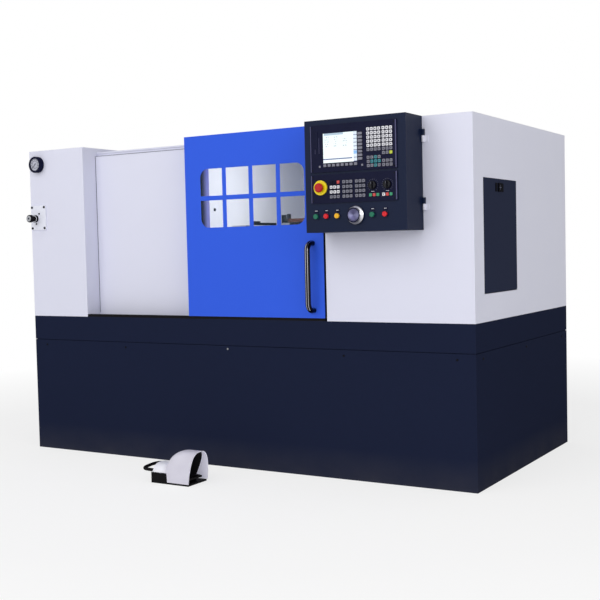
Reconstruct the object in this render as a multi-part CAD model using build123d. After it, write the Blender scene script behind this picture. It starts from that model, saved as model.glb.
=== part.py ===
from build123d import *
import os
from math import cos, pi, radians, sin

# Enclosed CNC turning lathe, millimetres.
# +X is the operator's right, -Y is the front, +Z is up.
# The origin is the centre of the stand's footprint, on the floor.

# Overall enclosure
MACHINE_LENGTH = 2550.0
MACHINE_DEPTH = 1285.0
MACHINE_HEIGHT = 1610.0
SHEET = 3.0
FIT = 0.3                  # gap between painted sheets that slide past each other
RUNNING = 0.05             # radial clearance of a shaft in its bore

# Stand and chip pan
STAND_HEIGHT = 592.0
STAND_WALL = 10.0
STAND_DECK = 20.0
FOOT_WIDTH = 90.0
FOOT_THICKNESS = 20.0
ANCHOR_INSET = 60.0
ANCHOR_RADIUS = 11.0
RIB_THICKNESS = 20.0
RIB_COUNT = 3
SEAM_HEIGHT = 3.0
SEAM_DEPTH = 5.0
PAN_HEIGHT = 129.0
PAN_SHEET = 4.0
PAN_LEDGE = 130.0
PAN_LIP = 40.0

# Covers above the pan
TOWER_WIDTH = 383.0
CABINET_WIDTH = 717.0
RECESS_DEPTH = 98.0
RECESS_RETURN = 40.0
LEDGE_DROP = 45.0          # front ledge below the roof
LEDGE_DEPTH = 342.0

# Sliding door
DOOR_WIDTH = 774.0
DOOR_RISE = 13.0           # door's lower edge above the pan
DOOR_TOP_RISE = 2.0        # door's top above the covers
DOOR_SKIN = 2.5
DOOR_DEPTH = 28.0
SEAL_WIDTH = 11.0
PANEL_OVERLAP = 42.0
PANE_SIZE = 131.0
MUNTIN = 22.0
PANE_COLUMNS = 4
PANE_ROWS = 2
PANE_INSET = 90.0
PANE_BOTTOM = 432.0
PANE_CORNER = 45.0
GLAZING_THICKNESS = 4.0
GLAZING_LAP = 20.0
HANDLE_RADIUS = 13.0
HANDLE_STANDOFF = 50.0
HANDLE_SPAN = 308.0
HANDLE_BEND = 36.0
HANDLE_INSET = 58.0
HANDLE_BOTTOM = 36.0       # lower end above the door's lower edge
RAIL_WIDTH = 30.0
RAIL_HEIGHT = 24.0
RAIL_SETBACK = 14.0        # from the ledge's front edge
HANGER_LENGTH = 90.0
HANGER_INSET = 60.0
TRACK_WIDTH = 32.0
GROOVE_WIDTH = 12.0
GROOVE_DEPTH = 8.0
GUIDE_THICKNESS = 4.0
GUIDE_DROP = 6.0

# Operator box on the right cabinet
BOX_WIDTH = 487.0
BOX_HEIGHT = 487.0
BOX_DEPTH = 166.0
BOX_SHEET = 2.0
UNIT_LEFT = 33.0
UNIT_WIDTH = 414.0
UNIT_TOP = 23.0
UNIT_HEIGHT = 204.0
UNIT_CHASSIS = 60.0
BEZEL = 6.0
BEZEL_LAP = 8.0
PANEL_GAP = 10.0
PANEL_HEIGHT = 124.0
PANEL_CHASSIS = 40.0
SCREEN_LEFT = 63.0
SCREEN_TOP = 38.0
SCREEN_WIDTH = 165.0
SCREEN_HEIGHT = 127.0
SCREEN_THICKNESS = 2.0
KEY = 13.0
KEY_PITCH = 17.2
PANEL_STEP = 20.6          # between the machine panel's key rows
SOFT_WIDE = 22.0           # keys beside the screen
SOFT_STEP = 15.2
SOFT_NARROW = 15.0         # keys below the screen
KEY_RISE = 2.0
MAT_THICKNESS = 3.0
MAT_MARGIN = 2.0
CONTROL_ROW = 64.5         # emergency stop and knobs below the panel's top
ESTOP_LEFT = 48.0
COLLAR_RADIUS = 32.0
COLLAR_THICKNESS = 8.0
MUSHROOM_RADIUS = 20.0
MUSHROOM_STEM = 10.0
MUSHROOM_HEIGHT = 14.0
ESTOP_TRAVEL = 5.0
OVERRIDE_LEFT = (300.0, 369.0)
OVERRIDE_RADIUS = 18.0
OVERRIDE_HEIGHT = 18.0
SMALL_STEM = 4.0
BUTTON_ROW = 70.0          # above the box's lower edge
BUTTON_LEFT = (53.0, 104.0, 158.0, 328.0, 388.0)
BUTTON_RADIUS = 11.0
BUTTON_STEM = 7.0
BUTTON_TRAVEL = 4.0
BUTTON_RISE = 13.0
RING_WIDTH = 3.0
RING_HEIGHT = 5.0
WHEEL_LEFT = 248.0
WHEEL_RADIUS = 40.0
WHEEL_DEPTH = 26.0
DIAL_RADIUS = 32.0
WHEEL_STEM = 6.0
HINGE_RADIUS = 7.0
HINGE_PIN = 3.0
HINGE_LENGTH = 27.0
HINGE_LEAF = 3.0
HINGE_RISE = (85.0, 376.0)  # lower ends above the box's lower edge

# Side hatch and its latch
HATCH_WIDTH = 415.0
HATCH_HEIGHT = 500.0
HATCH_FRONT = 110.0
HATCH_RISE = 121.0
HATCH_THICKNESS = 15.0
HATCH_GAP = 0.8
HATCH_PIN = 3.0
HATCH_PIN_LENGTH = 6.0
LATCH_SIZE = 38.0
LATCH_RISE = 6.0
LATCH_STEM = 9.0
LATCH_DROP = 37.0
LATCH_CAM = 22.0
CAM_THICKNESS = 5.0

# Tower fittings
GAUGE_LEFT = 64.0
GAUGE_DROP = 74.0          # gauge's middle below the roof
GAUGE_RADIUS = 43.0
GAUGE_DEPTH = 30.0
GAUGE_RIM = 6.0
GAUGE_DISH = 5.0
NEEDLE_THICKNESS = 1.0
PLATE_WIDTH = 108.0
PLATE_HEIGHT = 132.0
PLATE_DROP = 424.0         # plate's lower edge below the roof
PLATE_THICKNESS = 6.0
PLATE_INSET = 3.0
KNOB_LEFT = 46.0
KNOB_RISE = 61.0           # knob's middle above the plate's lower edge
COLLAR_LENGTH = 20.0
KNOB_COLLAR = 17.5
KNOB_REACH = 66.0
KNOB_RADIUS = 19.5

# Headstock, spindle and chuck
SPINDLE_Y = -110.0
SPINDLE_Z = 1080.0
BAR_PORT = 9.0              # clearance of the bar feed hole in the tower's side
HEAD_LENGTH = 525.0
HEAD_WIDTH = 330.0
HEAD_TOP = 170.0           # above the spindle axis
HEAD_GAP = 3.0
STATOR_LENGTH = 280.0
STATOR_RADIUS = 115.0
STATOR_BORE = 80.0
ROTOR_RADIUS = 75.0
BEARING_RADIUS = 60.0
NOSE_RADIUS = 85.0
NOSE_LENGTH = 20.0
TAIL_RADIUS = 45.0
BAR_RADIUS = 27.0
CHUCK_RADIUS = 105.0
CHUCK_LENGTH = 88.0
JAW_COUNT = 3
JAW_WIDTH = 26.0
JAW_HEIGHT = 45.0
JAW_CLEARANCE = 3.0        # between closed jaws and the bar bore
JAW_OUTER = 100.0
JAW_STEP = 22.0
SLOT_DEPTH = 16.0
JAW_STROKE = 6.0
CYLINDER_RADIUS = 80.0
CYLINDER_LENGTH = 150.0

# Bed, saddle, cross slide and turret
WALL_LEFT = 960.0          # chamber side of the wall in front of the headstock
BED_FRONT = -300.0
BED_BACK = 420.0
BED_TOP = 830.0
WAY_HEIGHT = 30.0
WAY_WIDTH = 70.0
BED_CLEARANCE = 1.0
TROUGH_WIDTH = 90.0
TROUGH_DEPTH = 75.0
SCREW_Y = 60.0
SCREW_RADIUS = 16.0
SCREW_DROP = 40.0          # screw axis below the bed's top
SCREW_WALL = 25.0
NUT_LENGTH = 100.0
SADDLE_GAP = 245.0          # saddle at rest from that wall
SADDLE_LENGTH = 220.0
SADDLE_OVERHANG = 10.0
SADDLE_THICKNESS = 45.0
SLIDE_THICKNESS = 45.0
SLIDE_LENGTH = 260.0
GIB_WIDTH = 100.0
GIB_HEIGHT = 20.0
TURRET_Y = 150.0
HEAD_BODY_RADIUS = 115.0
HEAD_BODY_LENGTH = 198.0
DISC_RADIUS = 125.0
DISC_THICKNESS = 80.0
DISC_GAP = 2.0
DISC_STATIONS = 8
DISC_BOSS = 30.0
TOOL_COUNT = 4
TOOL_BLOCK = 44.0
TOOL_SHANK = 20.0
TOOL_REACH = 45.0
SERVO_SIZE = 90.0
SERVO_LENGTH = 140.0
SERVO_SNOUT = 30.0

# Electrical plate in the right cabinet
BACKPLATE_Y = 300.0
MODULE_DEPTH = 130.0
MODULE_GAP = 30.0
MODULE_SIZES = ((150.0, 420.0), (110.0, 420.0), (220.0, 300.0))

# Foot pedal on the floor in front
PEDAL_RIGHT = 68.0
PEDAL_Y = -1004.0
PEDAL_LENGTH = 210.0
PEDAL_WIDTH = 140.0
PEDAL_HEIGHT = 149.0
PEDAL_FLOOR = 8.0
PEDAL_DECK = 58.0
PEDAL_WALL = 3.0
PEDAL_BLOCK = 88.0
PEDAL_FLARE = 10.0         # mouth's top beyond the guard's foot
HOOD_SETBACK = 62.0        # hood's rear foot from the pedal's left end
TREADLE_THICKNESS = 8.0
TREADLE_CLEARANCE = 3.0    # between the pressed treadle and its floor
TREADLE_SETBACK = 16.0
TREADLE_PIN = 4.0
TREADLE_ANGLE = 6.0
TREADLE_RIM = 18.0          # treadle's side in from the guard's side
CHEEK_WIDTH = 12.0
CHEEK_GAP = 1.0
CHEEK_HALF = 9.0
BAIL_RADIUS = 5.0
BAIL_REACH = 66.0

# Places worked out from the sizes above
LEFT = -MACHINE_LENGTH / 2
RIGHT = MACHINE_LENGTH / 2
FRONT = -MACHINE_DEPTH / 2
BACK = MACHINE_DEPTH / 2
PAN_TOP = STAND_HEIGHT + PAN_HEIGHT
TOWER_RIGHT = LEFT + TOWER_WIDTH
CABINET_LEFT = RIGHT - CABINET_WIDTH
RECESS_Y = FRONT + RECESS_DEPTH
LEDGE_Y = FRONT + LEDGE_DEPTH
DOOR_RIGHT = CABINET_LEFT - SEAL_WIDTH
DOOR_LEFT = DOOR_RIGHT - DOOR_WIDTH
DOOR_BOTTOM = PAN_TOP + DOOR_RISE
DOOR_TOP = MACHINE_HEIGHT + DOOR_TOP_RISE
PANEL_RIGHT = DOOR_LEFT + PANEL_OVERLAP
RAIL_FRONT = RECESS_Y + RAIL_SETBACK
GROOVE_Y = FRONT + DOOR_DEPTH / 2
HANDLE_X = DOOR_RIGHT - HANDLE_INSET
HANDLE_Z = DOOR_BOTTOM + HANDLE_BOTTOM
BOX_LEFT = CABINET_LEFT
BOX_RIGHT = BOX_LEFT + BOX_WIDTH
BOX_BOTTOM = MACHINE_HEIGHT - BOX_HEIGHT
BOX_FRONT = FRONT - BOX_DEPTH
UNIT_Z = MACHINE_HEIGHT - UNIT_TOP - UNIT_HEIGHT
PANEL_Z = UNIT_Z - PANEL_GAP - PANEL_HEIGHT
CONTROL_Z = PANEL_Z + PANEL_HEIGHT - CONTROL_ROW + BEZEL_LAP
BUTTON_Z = BOX_BOTTOM + BUTTON_ROW
HATCH_Y = FRONT + HATCH_FRONT
HATCH_Z = PAN_TOP + HATCH_RISE
HATCH_AXIS_X = RIGHT - HATCH_THICKNESS / 2
HATCH_AXIS_Z = HATCH_Z + HATCH_THICKNESS / 2
LATCH_Y = HATCH_Y + 0.47 * HATCH_WIDTH
LATCH_Z = HATCH_Z + HATCH_HEIGHT - LATCH_DROP
GAUGE_HEIGHT = MACHINE_HEIGHT - GAUGE_DROP
PLATE_BOTTOM = MACHINE_HEIGHT - PLATE_DROP
KNOB_HEIGHT = PLATE_BOTTOM + KNOB_RISE
LEDGE_HEIGHT = MACHINE_HEIGHT - LEDGE_DROP
WALL_X = LEFT + WALL_LEFT
SADDLE_LEFT = WALL_X + SADDLE_GAP
HEAD_RIGHT = WALL_X - SHEET - HEAD_GAP
HEAD_LEFT = HEAD_RIGHT - HEAD_LENGTH
NOSE_END = HEAD_RIGHT + NOSE_LENGTH
CHUCK_END = NOSE_END + CHUCK_LENGTH
JAW_INNER = BAR_RADIUS + JAW_STROKE + JAW_CLEARANCE
SPINDLE_TAIL = TOWER_RIGHT - 2 * FOOT_THICKNESS
STATOR_MIDDLE = (HEAD_LEFT + HEAD_RIGHT) / 2
WAY_TOP = BED_TOP + WAY_HEIGHT
BED_RIGHT = CABINET_LEFT - PAN_LIP / 4
SCREW_Z = BED_TOP - SCREW_DROP
SADDLE_TOP = WAY_TOP + SADDLE_THICKNESS
SLIDE_TOP = SADDLE_TOP + SLIDE_THICKNESS
DISC_RIGHT = SADDLE_LEFT - SADDLE_OVERHANG - DISC_GAP
DISC_LEFT = DISC_RIGHT - DISC_THICKNESS
PEDAL_LEFT = PEDAL_RIGHT - PEDAL_LENGTH
TREADLE_X = PEDAL_LEFT + PEDAL_BLOCK + TREADLE_SETBACK
TREADLE_LENGTH = PEDAL_RIGHT - CHEEK_WIDTH - TREADLE_X
TREADLE_Z = PEDAL_FLOOR + TREADLE_LENGTH * sin(radians(TREADLE_ANGLE)) + TREADLE_CLEARANCE
BLOCK_TOP = PEDAL_DECK - 2 * PEDAL_WALL - PEDAL_WALL - FIT
BAIL_Z = BLOCK_TOP - 1.5 * BAIL_RADIUS


def block(x, y, z):
    """Solid box between the low and high limit on each axis."""
    size = Box(x[1] - x[0], y[1] - y[0], z[1] - z[0])
    return Pos((x[0] + x[1]) / 2, (y[0] + y[1]) / 2, (z[0] + z[1]) / 2) * size


def rod_x(radius, x, y, z):
    """Round bar along X between two limits."""
    return Pos((x[0] + x[1]) / 2, y, z) * Rot(0, 90, 0) * Cylinder(radius, x[1] - x[0])


def rod_y(radius, x, y, z):
    """Round bar along Y between two limits."""
    return Pos(x, (y[0] + y[1]) / 2, z) * Rot(90, 0, 0) * Cylinder(radius, y[1] - y[0])


def rod_z(radius, x, y, z):
    """Round bar along Z between two limits."""
    return Pos(x, y, (z[0] + z[1]) / 2) * Cylinder(radius, z[1] - z[0])


def along_x(points, x):
    """Polygon of (y, z) corners, extruded between two X limits."""
    face = make_face(Polyline(*points, close=True))
    plane = Plane(origin=(x[0], 0, 0), x_dir=(0, 1, 0), z_dir=(1, 0, 0))
    return extrude(plane * face, amount=x[1] - x[0])


def front_cut(sketch, y):
    """Sketch drawn as (x, z), extruded between two Y limits."""
    plane = Plane(origin=(0, y[1], 0), x_dir=(1, 0, 0), z_dir=(0, -1, 0))
    return extrude(plane * sketch, amount=y[1] - y[0])


def turned_y(points, x, z, y):
    """Profile of (radius, distance towards the front), turned about an axis along Y."""
    plane = Plane(origin=(x, y, z), x_dir=(1, 0, 0), z_dir=(0, 0, 1))
    flipped = [(radius, -reach) for radius, reach in points]
    face = make_face(Polyline(*flipped, close=True))
    return revolve(plane * face, axis=Axis((x, y, z), (0, -1, 0)))


# Stand and chip pan

def base_stand():
    """Welded plinth, open below, with a foot flange, anchor holes and cross ribs."""
    inside_x = (LEFT + STAND_WALL, RIGHT - STAND_WALL)
    inside_y = (FRONT + STAND_WALL, BACK - STAND_WALL)
    body = block((LEFT, RIGHT), (FRONT, BACK), (0, STAND_HEIGHT))
    body -= block(inside_x, inside_y, (FOOT_THICKNESS, STAND_HEIGHT - STAND_DECK))
    mouth_x = (LEFT + FOOT_WIDTH, RIGHT - FOOT_WIDTH)
    mouth_y = (FRONT + FOOT_WIDTH, BACK - FOOT_WIDTH)
    body -= block(mouth_x, mouth_y, (0, FOOT_THICKNESS))
    bay = MACHINE_LENGTH / (RIB_COUNT + 1)
    for number in range(RIB_COUNT):
        middle = LEFT + bay * (number + 1)
        rib_x = (middle - RIB_THICKNESS / 2, middle + RIB_THICKNESS / 2)
        body += block(rib_x, inside_y, (0, STAND_HEIGHT - STAND_DECK))
    spacing_x = MACHINE_LENGTH - 2 * ANCHOR_INSET
    spacing_y = MACHINE_DEPTH - 2 * ANCHOR_INSET
    for place in GridLocations(spacing_x, spacing_y, 2, 2):
        body -= place * Pos(0, 0, FOOT_THICKNESS / 2) * Cylinder(ANCHOR_RADIUS, FOOT_THICKNESS)
    return body


def chip_pan():
    """Folded tray with a top ledge, its lower edge set back to leave the dark seam."""
    seam_top = STAND_HEIGHT + SEAM_HEIGHT
    body = block((LEFT, RIGHT), (FRONT, BACK), (seam_top, PAN_TOP))
    body += block(
        (LEFT + SEAM_DEPTH, RIGHT - SEAM_DEPTH),
        (FRONT + SEAM_DEPTH, BACK - SEAM_DEPTH),
        (STAND_HEIGHT, seam_top),
    )
    wall = SEAM_DEPTH + PAN_SHEET
    body -= block(
        (LEFT + wall, RIGHT - wall),
        (FRONT + wall, BACK - wall),
        (seam_top + PAN_SHEET, PAN_TOP - PAN_SHEET),
    )
    body -= block(
        (TOWER_RIGHT + PAN_LIP, CABINET_LEFT - BED_CLEARANCE),
        (FRONT + PAN_LEDGE, BACK - PAN_LIP),
        (PAN_TOP - PAN_SHEET, PAN_TOP),
    )
    body -= block(
        (HEAD_LEFT - BED_CLEARANCE, BED_RIGHT + BED_CLEARANCE),
        (BED_FRONT - BED_CLEARANCE, BED_BACK + BED_CLEARANCE),
        (STAND_HEIGHT, seam_top + PAN_SHEET),
    )
    return body


# Fixed covers

def tower_cover():
    """Left tower, with holes for the spindle's tail and for feeding bar."""
    body = block((LEFT, TOWER_RIGHT), (FRONT, BACK), (PAN_TOP, MACHINE_HEIGHT))
    body -= block(
        (LEFT + SHEET, TOWER_RIGHT - SHEET),
        (FRONT + SHEET, BACK - SHEET),
        (PAN_TOP, MACHINE_HEIGHT - SHEET),
    )
    tail_hole = TAIL_RADIUS + PAN_LIP / 2
    body -= rod_x(tail_hole, (TOWER_RIGHT - 2 * SHEET, TOWER_RIGHT + SHEET), SPINDLE_Y, SPINDLE_Z)
    port_x = (LEFT - SHEET, LEFT + 2 * SHEET)
    return body - rod_x(BAR_RADIUS + BAR_PORT, port_x, SPINDLE_Y, SPINDLE_Z)


def recess_panel():
    """Fixed front panel beside the tower, folded back behind the door's left edge."""
    panel_top = LEDGE_HEIGHT - SHEET
    front = (RECESS_Y, RECESS_Y + SHEET)
    body = block((TOWER_RIGHT, PANEL_RIGHT), front, (PAN_TOP, panel_top))
    fold = (RECESS_Y, RECESS_Y + RECESS_RETURN)
    body += block((PANEL_RIGHT - SHEET, PANEL_RIGHT), fold, (PAN_TOP, panel_top))
    return body


def roof_cover():
    """One folded sheet: front ledge, step up, roof and rear wall."""
    outside = [
        (RECESS_Y, LEDGE_HEIGHT - SHEET),
        (RECESS_Y, LEDGE_HEIGHT),
        (LEDGE_Y, LEDGE_HEIGHT),
        (LEDGE_Y, MACHINE_HEIGHT),
        (BACK, MACHINE_HEIGHT),
        (BACK, PAN_TOP),
        (BACK - SHEET, PAN_TOP),
        (BACK - SHEET, MACHINE_HEIGHT - SHEET),
        (LEDGE_Y + SHEET, MACHINE_HEIGHT - SHEET),
        (LEDGE_Y + SHEET, LEDGE_HEIGHT - SHEET),
    ]
    return along_x(outside, (TOWER_RIGHT, CABINET_LEFT))


def chamber_wall():
    """Wall in front of the headstock, cut round the bed and the spindle nose."""
    inner_top = MACHINE_HEIGHT - SHEET
    ledge_top = LEDGE_HEIGHT - SHEET
    front_edge = RECESS_Y + SHEET
    corners = [
        (front_edge, PAN_TOP),
        (BACK - SHEET, PAN_TOP),
        (BACK - SHEET, inner_top),
        (LEDGE_Y + SHEET, inner_top),
        (LEDGE_Y + SHEET, ledge_top),
        (front_edge, ledge_top),
    ]
    body = along_x(corners, (WALL_X - SHEET, WALL_X))
    over = (WALL_X - 2 * SHEET, WALL_X + SHEET)
    gap = BED_CLEARANCE
    body -= block(over, (BED_FRONT - gap, BED_BACK + gap), (PAN_TOP, WAY_TOP + gap))
    body -= rod_x(NOSE_RADIUS + PAN_SHEET, over, SPINDLE_Y, SPINDLE_Z)
    return body


def right_cabinet():
    """Right cabinet shell with a flanged hatch opening and the feed servo's hole."""
    body = block((CABINET_LEFT, RIGHT), (FRONT, BACK), (PAN_TOP, MACHINE_HEIGHT))
    body -= block(
        (CABINET_LEFT + SHEET, RIGHT - SHEET),
        (FRONT + SHEET, BACK - SHEET),
        (PAN_TOP, MACHINE_HEIGHT - SHEET),
    )
    gap = HATCH_GAP
    opening_y = (HATCH_Y - gap, HATCH_Y + HATCH_WIDTH + gap)
    opening_z = (HATCH_Z - gap, HATCH_Z + HATCH_HEIGHT + gap)
    flange_y = (opening_y[0] - SHEET, opening_y[1] + SHEET)
    flange_z = (opening_z[0] - SHEET, opening_z[1] + SHEET)
    body += block((RIGHT - HATCH_THICKNESS, RIGHT), flange_y, flange_z)
    body -= block((RIGHT - 2 * HATCH_THICKNESS, RIGHT + SHEET), opening_y, opening_z)
    pin_y = (HATCH_Y - HATCH_PIN_LENGTH, HATCH_Y + HATCH_WIDTH + HATCH_PIN_LENGTH)
    body -= rod_y(HATCH_PIN + RUNNING, HATCH_AXIS_X, pin_y, HATCH_AXIS_Z)
    over = (CABINET_LEFT - SHEET, CABINET_LEFT + 2 * SHEET)
    body -= rod_x(SERVO_SNOUT + FIT, over, SCREW_Y, SCREW_Z)
    return body


# Sliding door

def upper_track():
    """Guide rail on the ledge that carries the door."""
    rail_y = (RAIL_FRONT, RAIL_FRONT + RAIL_WIDTH)
    body = block((TOWER_RIGHT, CABINET_LEFT), rail_y, (LEDGE_HEIGHT, LEDGE_HEIGHT + RAIL_HEIGHT))
    waist = RAIL_HEIGHT / 3
    for side in (RAIL_FRONT, RAIL_FRONT + RAIL_WIDTH):
        groove_y = (side - waist / 2, side + waist / 2)
        groove_z = (LEDGE_HEIGHT + waist, LEDGE_HEIGHT + 2 * waist)
        body -= block((TOWER_RIGHT, CABINET_LEFT), groove_y, groove_z)
    return body


def lower_track():
    """Grooved strip on the pan that guides the door's lower edge."""
    strip_y = (GROOVE_Y - TRACK_WIDTH / 2, GROOVE_Y + TRACK_WIDTH / 2)
    top = DOOR_BOTTOM - FIT
    body = block((TOWER_RIGHT, DOOR_RIGHT), (FRONT, strip_y[1]), (PAN_TOP, top))
    groove_y = (GROOVE_Y - GROOVE_WIDTH / 2, GROOVE_Y + GROOVE_WIDTH / 2)
    body -= block((TOWER_RIGHT, DOOR_RIGHT), groove_y, (top - GROOVE_DEPTH, top))
    return body


def door_seal():
    """Rubber strip between the closed door and the right cabinet."""
    strip_x = (DOOR_RIGHT + FIT, CABINET_LEFT)
    return block(strip_x, (FRONT + DOOR_SKIN, FRONT + DOOR_DEPTH), (PAN_TOP, MACHINE_HEIGHT))


def pane_openings():
    """Rounded window outline with its glazing bars left in, drawn as (x, z)."""
    width = PANE_COLUMNS * PANE_SIZE + (PANE_COLUMNS - 1) * MUNTIN
    height = PANE_ROWS * PANE_SIZE + (PANE_ROWS - 1) * MUNTIN
    left = DOOR_LEFT + PANE_INSET
    bottom = DOOR_BOTTOM + PANE_BOTTOM
    window = Pos(left + width / 2, bottom + height / 2) * RectangleRounded(width, height, PANE_CORNER)
    for column in range(1, PANE_COLUMNS):
        middle = left + column * (PANE_SIZE + MUNTIN) - MUNTIN / 2
        window -= Pos(middle, bottom + height / 2) * Rectangle(MUNTIN, 2 * height)
    for row in range(1, PANE_ROWS):
        middle = bottom + row * (PANE_SIZE + MUNTIN) - MUNTIN / 2
        window -= Pos(left + width / 2, middle) * Rectangle(2 * width, MUNTIN)
    return window


def door_panel():
    """Folded door: skin with panes, side returns, hook over the rail and lower guide."""
    door_x = (DOOR_LEFT, DOOR_RIGHT)
    body = block(door_x, (FRONT, FRONT + DOOR_DEPTH), (DOOR_BOTTOM, DOOR_TOP))
    body -= block(
        (DOOR_LEFT + DOOR_SKIN, DOOR_RIGHT - DOOR_SKIN),
        (FRONT + DOOR_SKIN, FRONT + DOOR_DEPTH),
        (DOOR_BOTTOM + DOOR_SKIN, DOOR_TOP - DOOR_SKIN),
    )
    body -= front_cut(pane_openings(), (FRONT - DOOR_SKIN, FRONT + 2 * DOOR_SKIN))
    hook_y = (FRONT, RAIL_FRONT + RAIL_WIDTH)
    body += block(door_x, hook_y, (DOOR_TOP - DOOR_SKIN, DOOR_TOP))
    guide_y = (GROOVE_Y - GUIDE_THICKNESS / 2, GROOVE_Y + GUIDE_THICKNESS / 2)
    body += block(door_x, guide_y, (DOOR_BOTTOM - GUIDE_DROP, DOOR_BOTTOM + DOOR_SKIN))
    return body


def door_glazing():
    """Clear sheet behind the eight panes."""
    left = DOOR_LEFT + PANE_INSET - GLAZING_LAP
    bottom = DOOR_BOTTOM + PANE_BOTTOM - GLAZING_LAP
    width = PANE_COLUMNS * PANE_SIZE + (PANE_COLUMNS - 1) * MUNTIN + 2 * GLAZING_LAP
    height = PANE_ROWS * PANE_SIZE + (PANE_ROWS - 1) * MUNTIN + 2 * GLAZING_LAP
    back_y = (FRONT + DOOR_SKIN, FRONT + DOOR_SKIN + GLAZING_THICKNESS)
    return block((left, left + width), back_y, (bottom, bottom + height))


def door_handle():
    """Bent tube handle standing off the door."""
    out_y = FRONT - HANDLE_STANDOFF
    top = HANDLE_Z + HANDLE_SPAN
    corners = [
        (HANDLE_X, FRONT, HANDLE_Z),
        (HANDLE_X, out_y, HANDLE_Z),
        (HANDLE_X, out_y, top),
        (HANDLE_X, FRONT, top),
    ]
    path = FilletPolyline(*corners, radius=HANDLE_BEND)
    start = Plane(origin=corners[0], z_dir=(0, -1, 0))
    return sweep(start * Circle(HANDLE_RADIUS), path=path)


def door_hangers():
    """Two runner blocks between the rail and the door's hook."""
    rail_top = LEDGE_HEIGHT + RAIL_HEIGHT + FIT
    middle_y = RAIL_FRONT + RAIL_WIDTH / 2
    runners = []
    for middle in (DOOR_LEFT + HANGER_INSET, DOOR_RIGHT - HANGER_INSET):
        runner_x = (middle - HANGER_LENGTH / 2, middle + HANGER_LENGTH / 2)
        runner_y = (middle_y - RAIL_WIDTH / 2, middle_y + RAIL_WIDTH / 2)
        runners.append(block(runner_x, runner_y, (rail_top, DOOR_TOP - DOOR_SKIN)))
    return runners[0] + runners[1]


# Operator box

def hinge_axis():
    """Plan position of the operator box's hinge pins."""
    return BOX_RIGHT + HINGE_RADIUS + 1, FRONT - HINGE_RADIUS - 1


def chassis_cut(bottom, height):
    """Cut-out in the box front, inside a bezel of the given place."""
    middle_x = BOX_LEFT + UNIT_LEFT + UNIT_WIDTH / 2
    width = UNIT_WIDTH - 2 * BEZEL_LAP
    return Pos(middle_x, bottom + height / 2) * Rectangle(width, height - 2 * BEZEL_LAP)


def operator_box():
    """Folded box, open at the back, with control cut-outs, button rings and hinge eyes."""
    body = block((BOX_LEFT, BOX_RIGHT), (BOX_FRONT, FRONT), (BOX_BOTTOM, MACHINE_HEIGHT))
    body -= block(
        (BOX_LEFT + BOX_SHEET, BOX_RIGHT - BOX_SHEET),
        (BOX_FRONT + BOX_SHEET, FRONT),
        (BOX_BOTTOM + BOX_SHEET, MACHINE_HEIGHT - BOX_SHEET),
    )
    through = (BOX_FRONT - BOX_SHEET, BOX_FRONT + 2 * BOX_SHEET)
    body -= front_cut(chassis_cut(UNIT_Z, UNIT_HEIGHT), through)
    body -= front_cut(chassis_cut(PANEL_Z, PANEL_HEIGHT), through)
    inner = BUTTON_RADIUS + FIT
    for place in BUTTON_LEFT:
        centre_x = BOX_LEFT + place
        ring_y = (BOX_FRONT - RING_HEIGHT, BOX_FRONT)
        ring = rod_y(inner + RING_WIDTH, centre_x, ring_y, BUTTON_Z)
        body += ring - rod_y(inner, centre_x, ring_y, BUTTON_Z)
        body -= rod_y(BUTTON_STEM + RUNNING, centre_x, through, BUTTON_Z)
    body -= rod_y(WHEEL_STEM + RUNNING, BOX_LEFT + WHEEL_LEFT, through, BUTTON_Z)
    axis_x, axis_y = hinge_axis()
    for rise in HINGE_RISE:
        eye_z = (BOX_BOTTOM + rise + HINGE_LENGTH, BOX_BOTTOM + rise + 2 * HINGE_LENGTH)
        leaf_y = (axis_y - HINGE_RADIUS, axis_y + HINGE_RADIUS)
        leaf = block((BOX_RIGHT, axis_x), leaf_y, eye_z)
        eye = leaf + rod_z(HINGE_RADIUS, axis_x, axis_y, eye_z)
        body += eye - rod_z(HINGE_PIN + RUNNING, axis_x, axis_y, eye_z)
    return body


def box_hinges():
    """Two fixed hinge halves on the cabinet, each with its pin."""
    axis_x, axis_y = hinge_axis()
    halves = []
    for rise in HINGE_RISE:
        low = BOX_BOTTOM + rise
        knuckle_z = (low, low + HINGE_LENGTH - FIT)
        half = rod_z(HINGE_RADIUS, axis_x, axis_y, knuckle_z)
        half += block((axis_x, axis_x + HINGE_RADIUS), (axis_y, FRONT), knuckle_z)
        leaf_x = (axis_x, axis_x + 3 * HINGE_RADIUS)
        half += block(leaf_x, (FRONT - HINGE_LEAF, FRONT), knuckle_z)
        half += rod_z(HINGE_PIN, axis_x, axis_y, (low, low + 2 * HINGE_LENGTH))
        halves.append(half)
    return halves[0] + halves[1]


def key_block(columns, rows, left, top, wide=KEY, across=KEY_PITCH, down=KEY_PITCH):
    """One rubber key mat: thin sheet with raised keys, corner at (left, top)."""
    width = (columns - 1) * across + wide
    height = (rows - 1) * down + KEY
    middle = Pos(left + width / 2, top - height / 2)
    sheet = middle * Rectangle(width + 2 * MAT_MARGIN, height + 2 * MAT_MARGIN)
    face_y = BOX_FRONT - BEZEL
    mat = front_cut(sheet, (face_y, face_y + MAT_THICKNESS))
    grid = GridLocations(across, down, columns, rows)
    keys = Sketch() + [middle * place * Rectangle(wide, KEY) for place in grid]
    return mat + front_cut(keys, (face_y - KEY_RISE, face_y))


def key_pocket(columns, rows, left, top, wide=KEY, across=KEY_PITCH, down=KEY_PITCH):
    """Pocket in a bezel that holds one key mat."""
    width = (columns - 1) * across + wide + 2 * MAT_MARGIN
    height = (rows - 1) * down + KEY + 2 * MAT_MARGIN
    x = (left - MAT_MARGIN, left - MAT_MARGIN + width)
    z = (top + MAT_MARGIN - height, top + MAT_MARGIN)
    face_y = BOX_FRONT - BEZEL
    return block(x, (face_y, face_y + MAT_THICKNESS), z)


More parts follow.
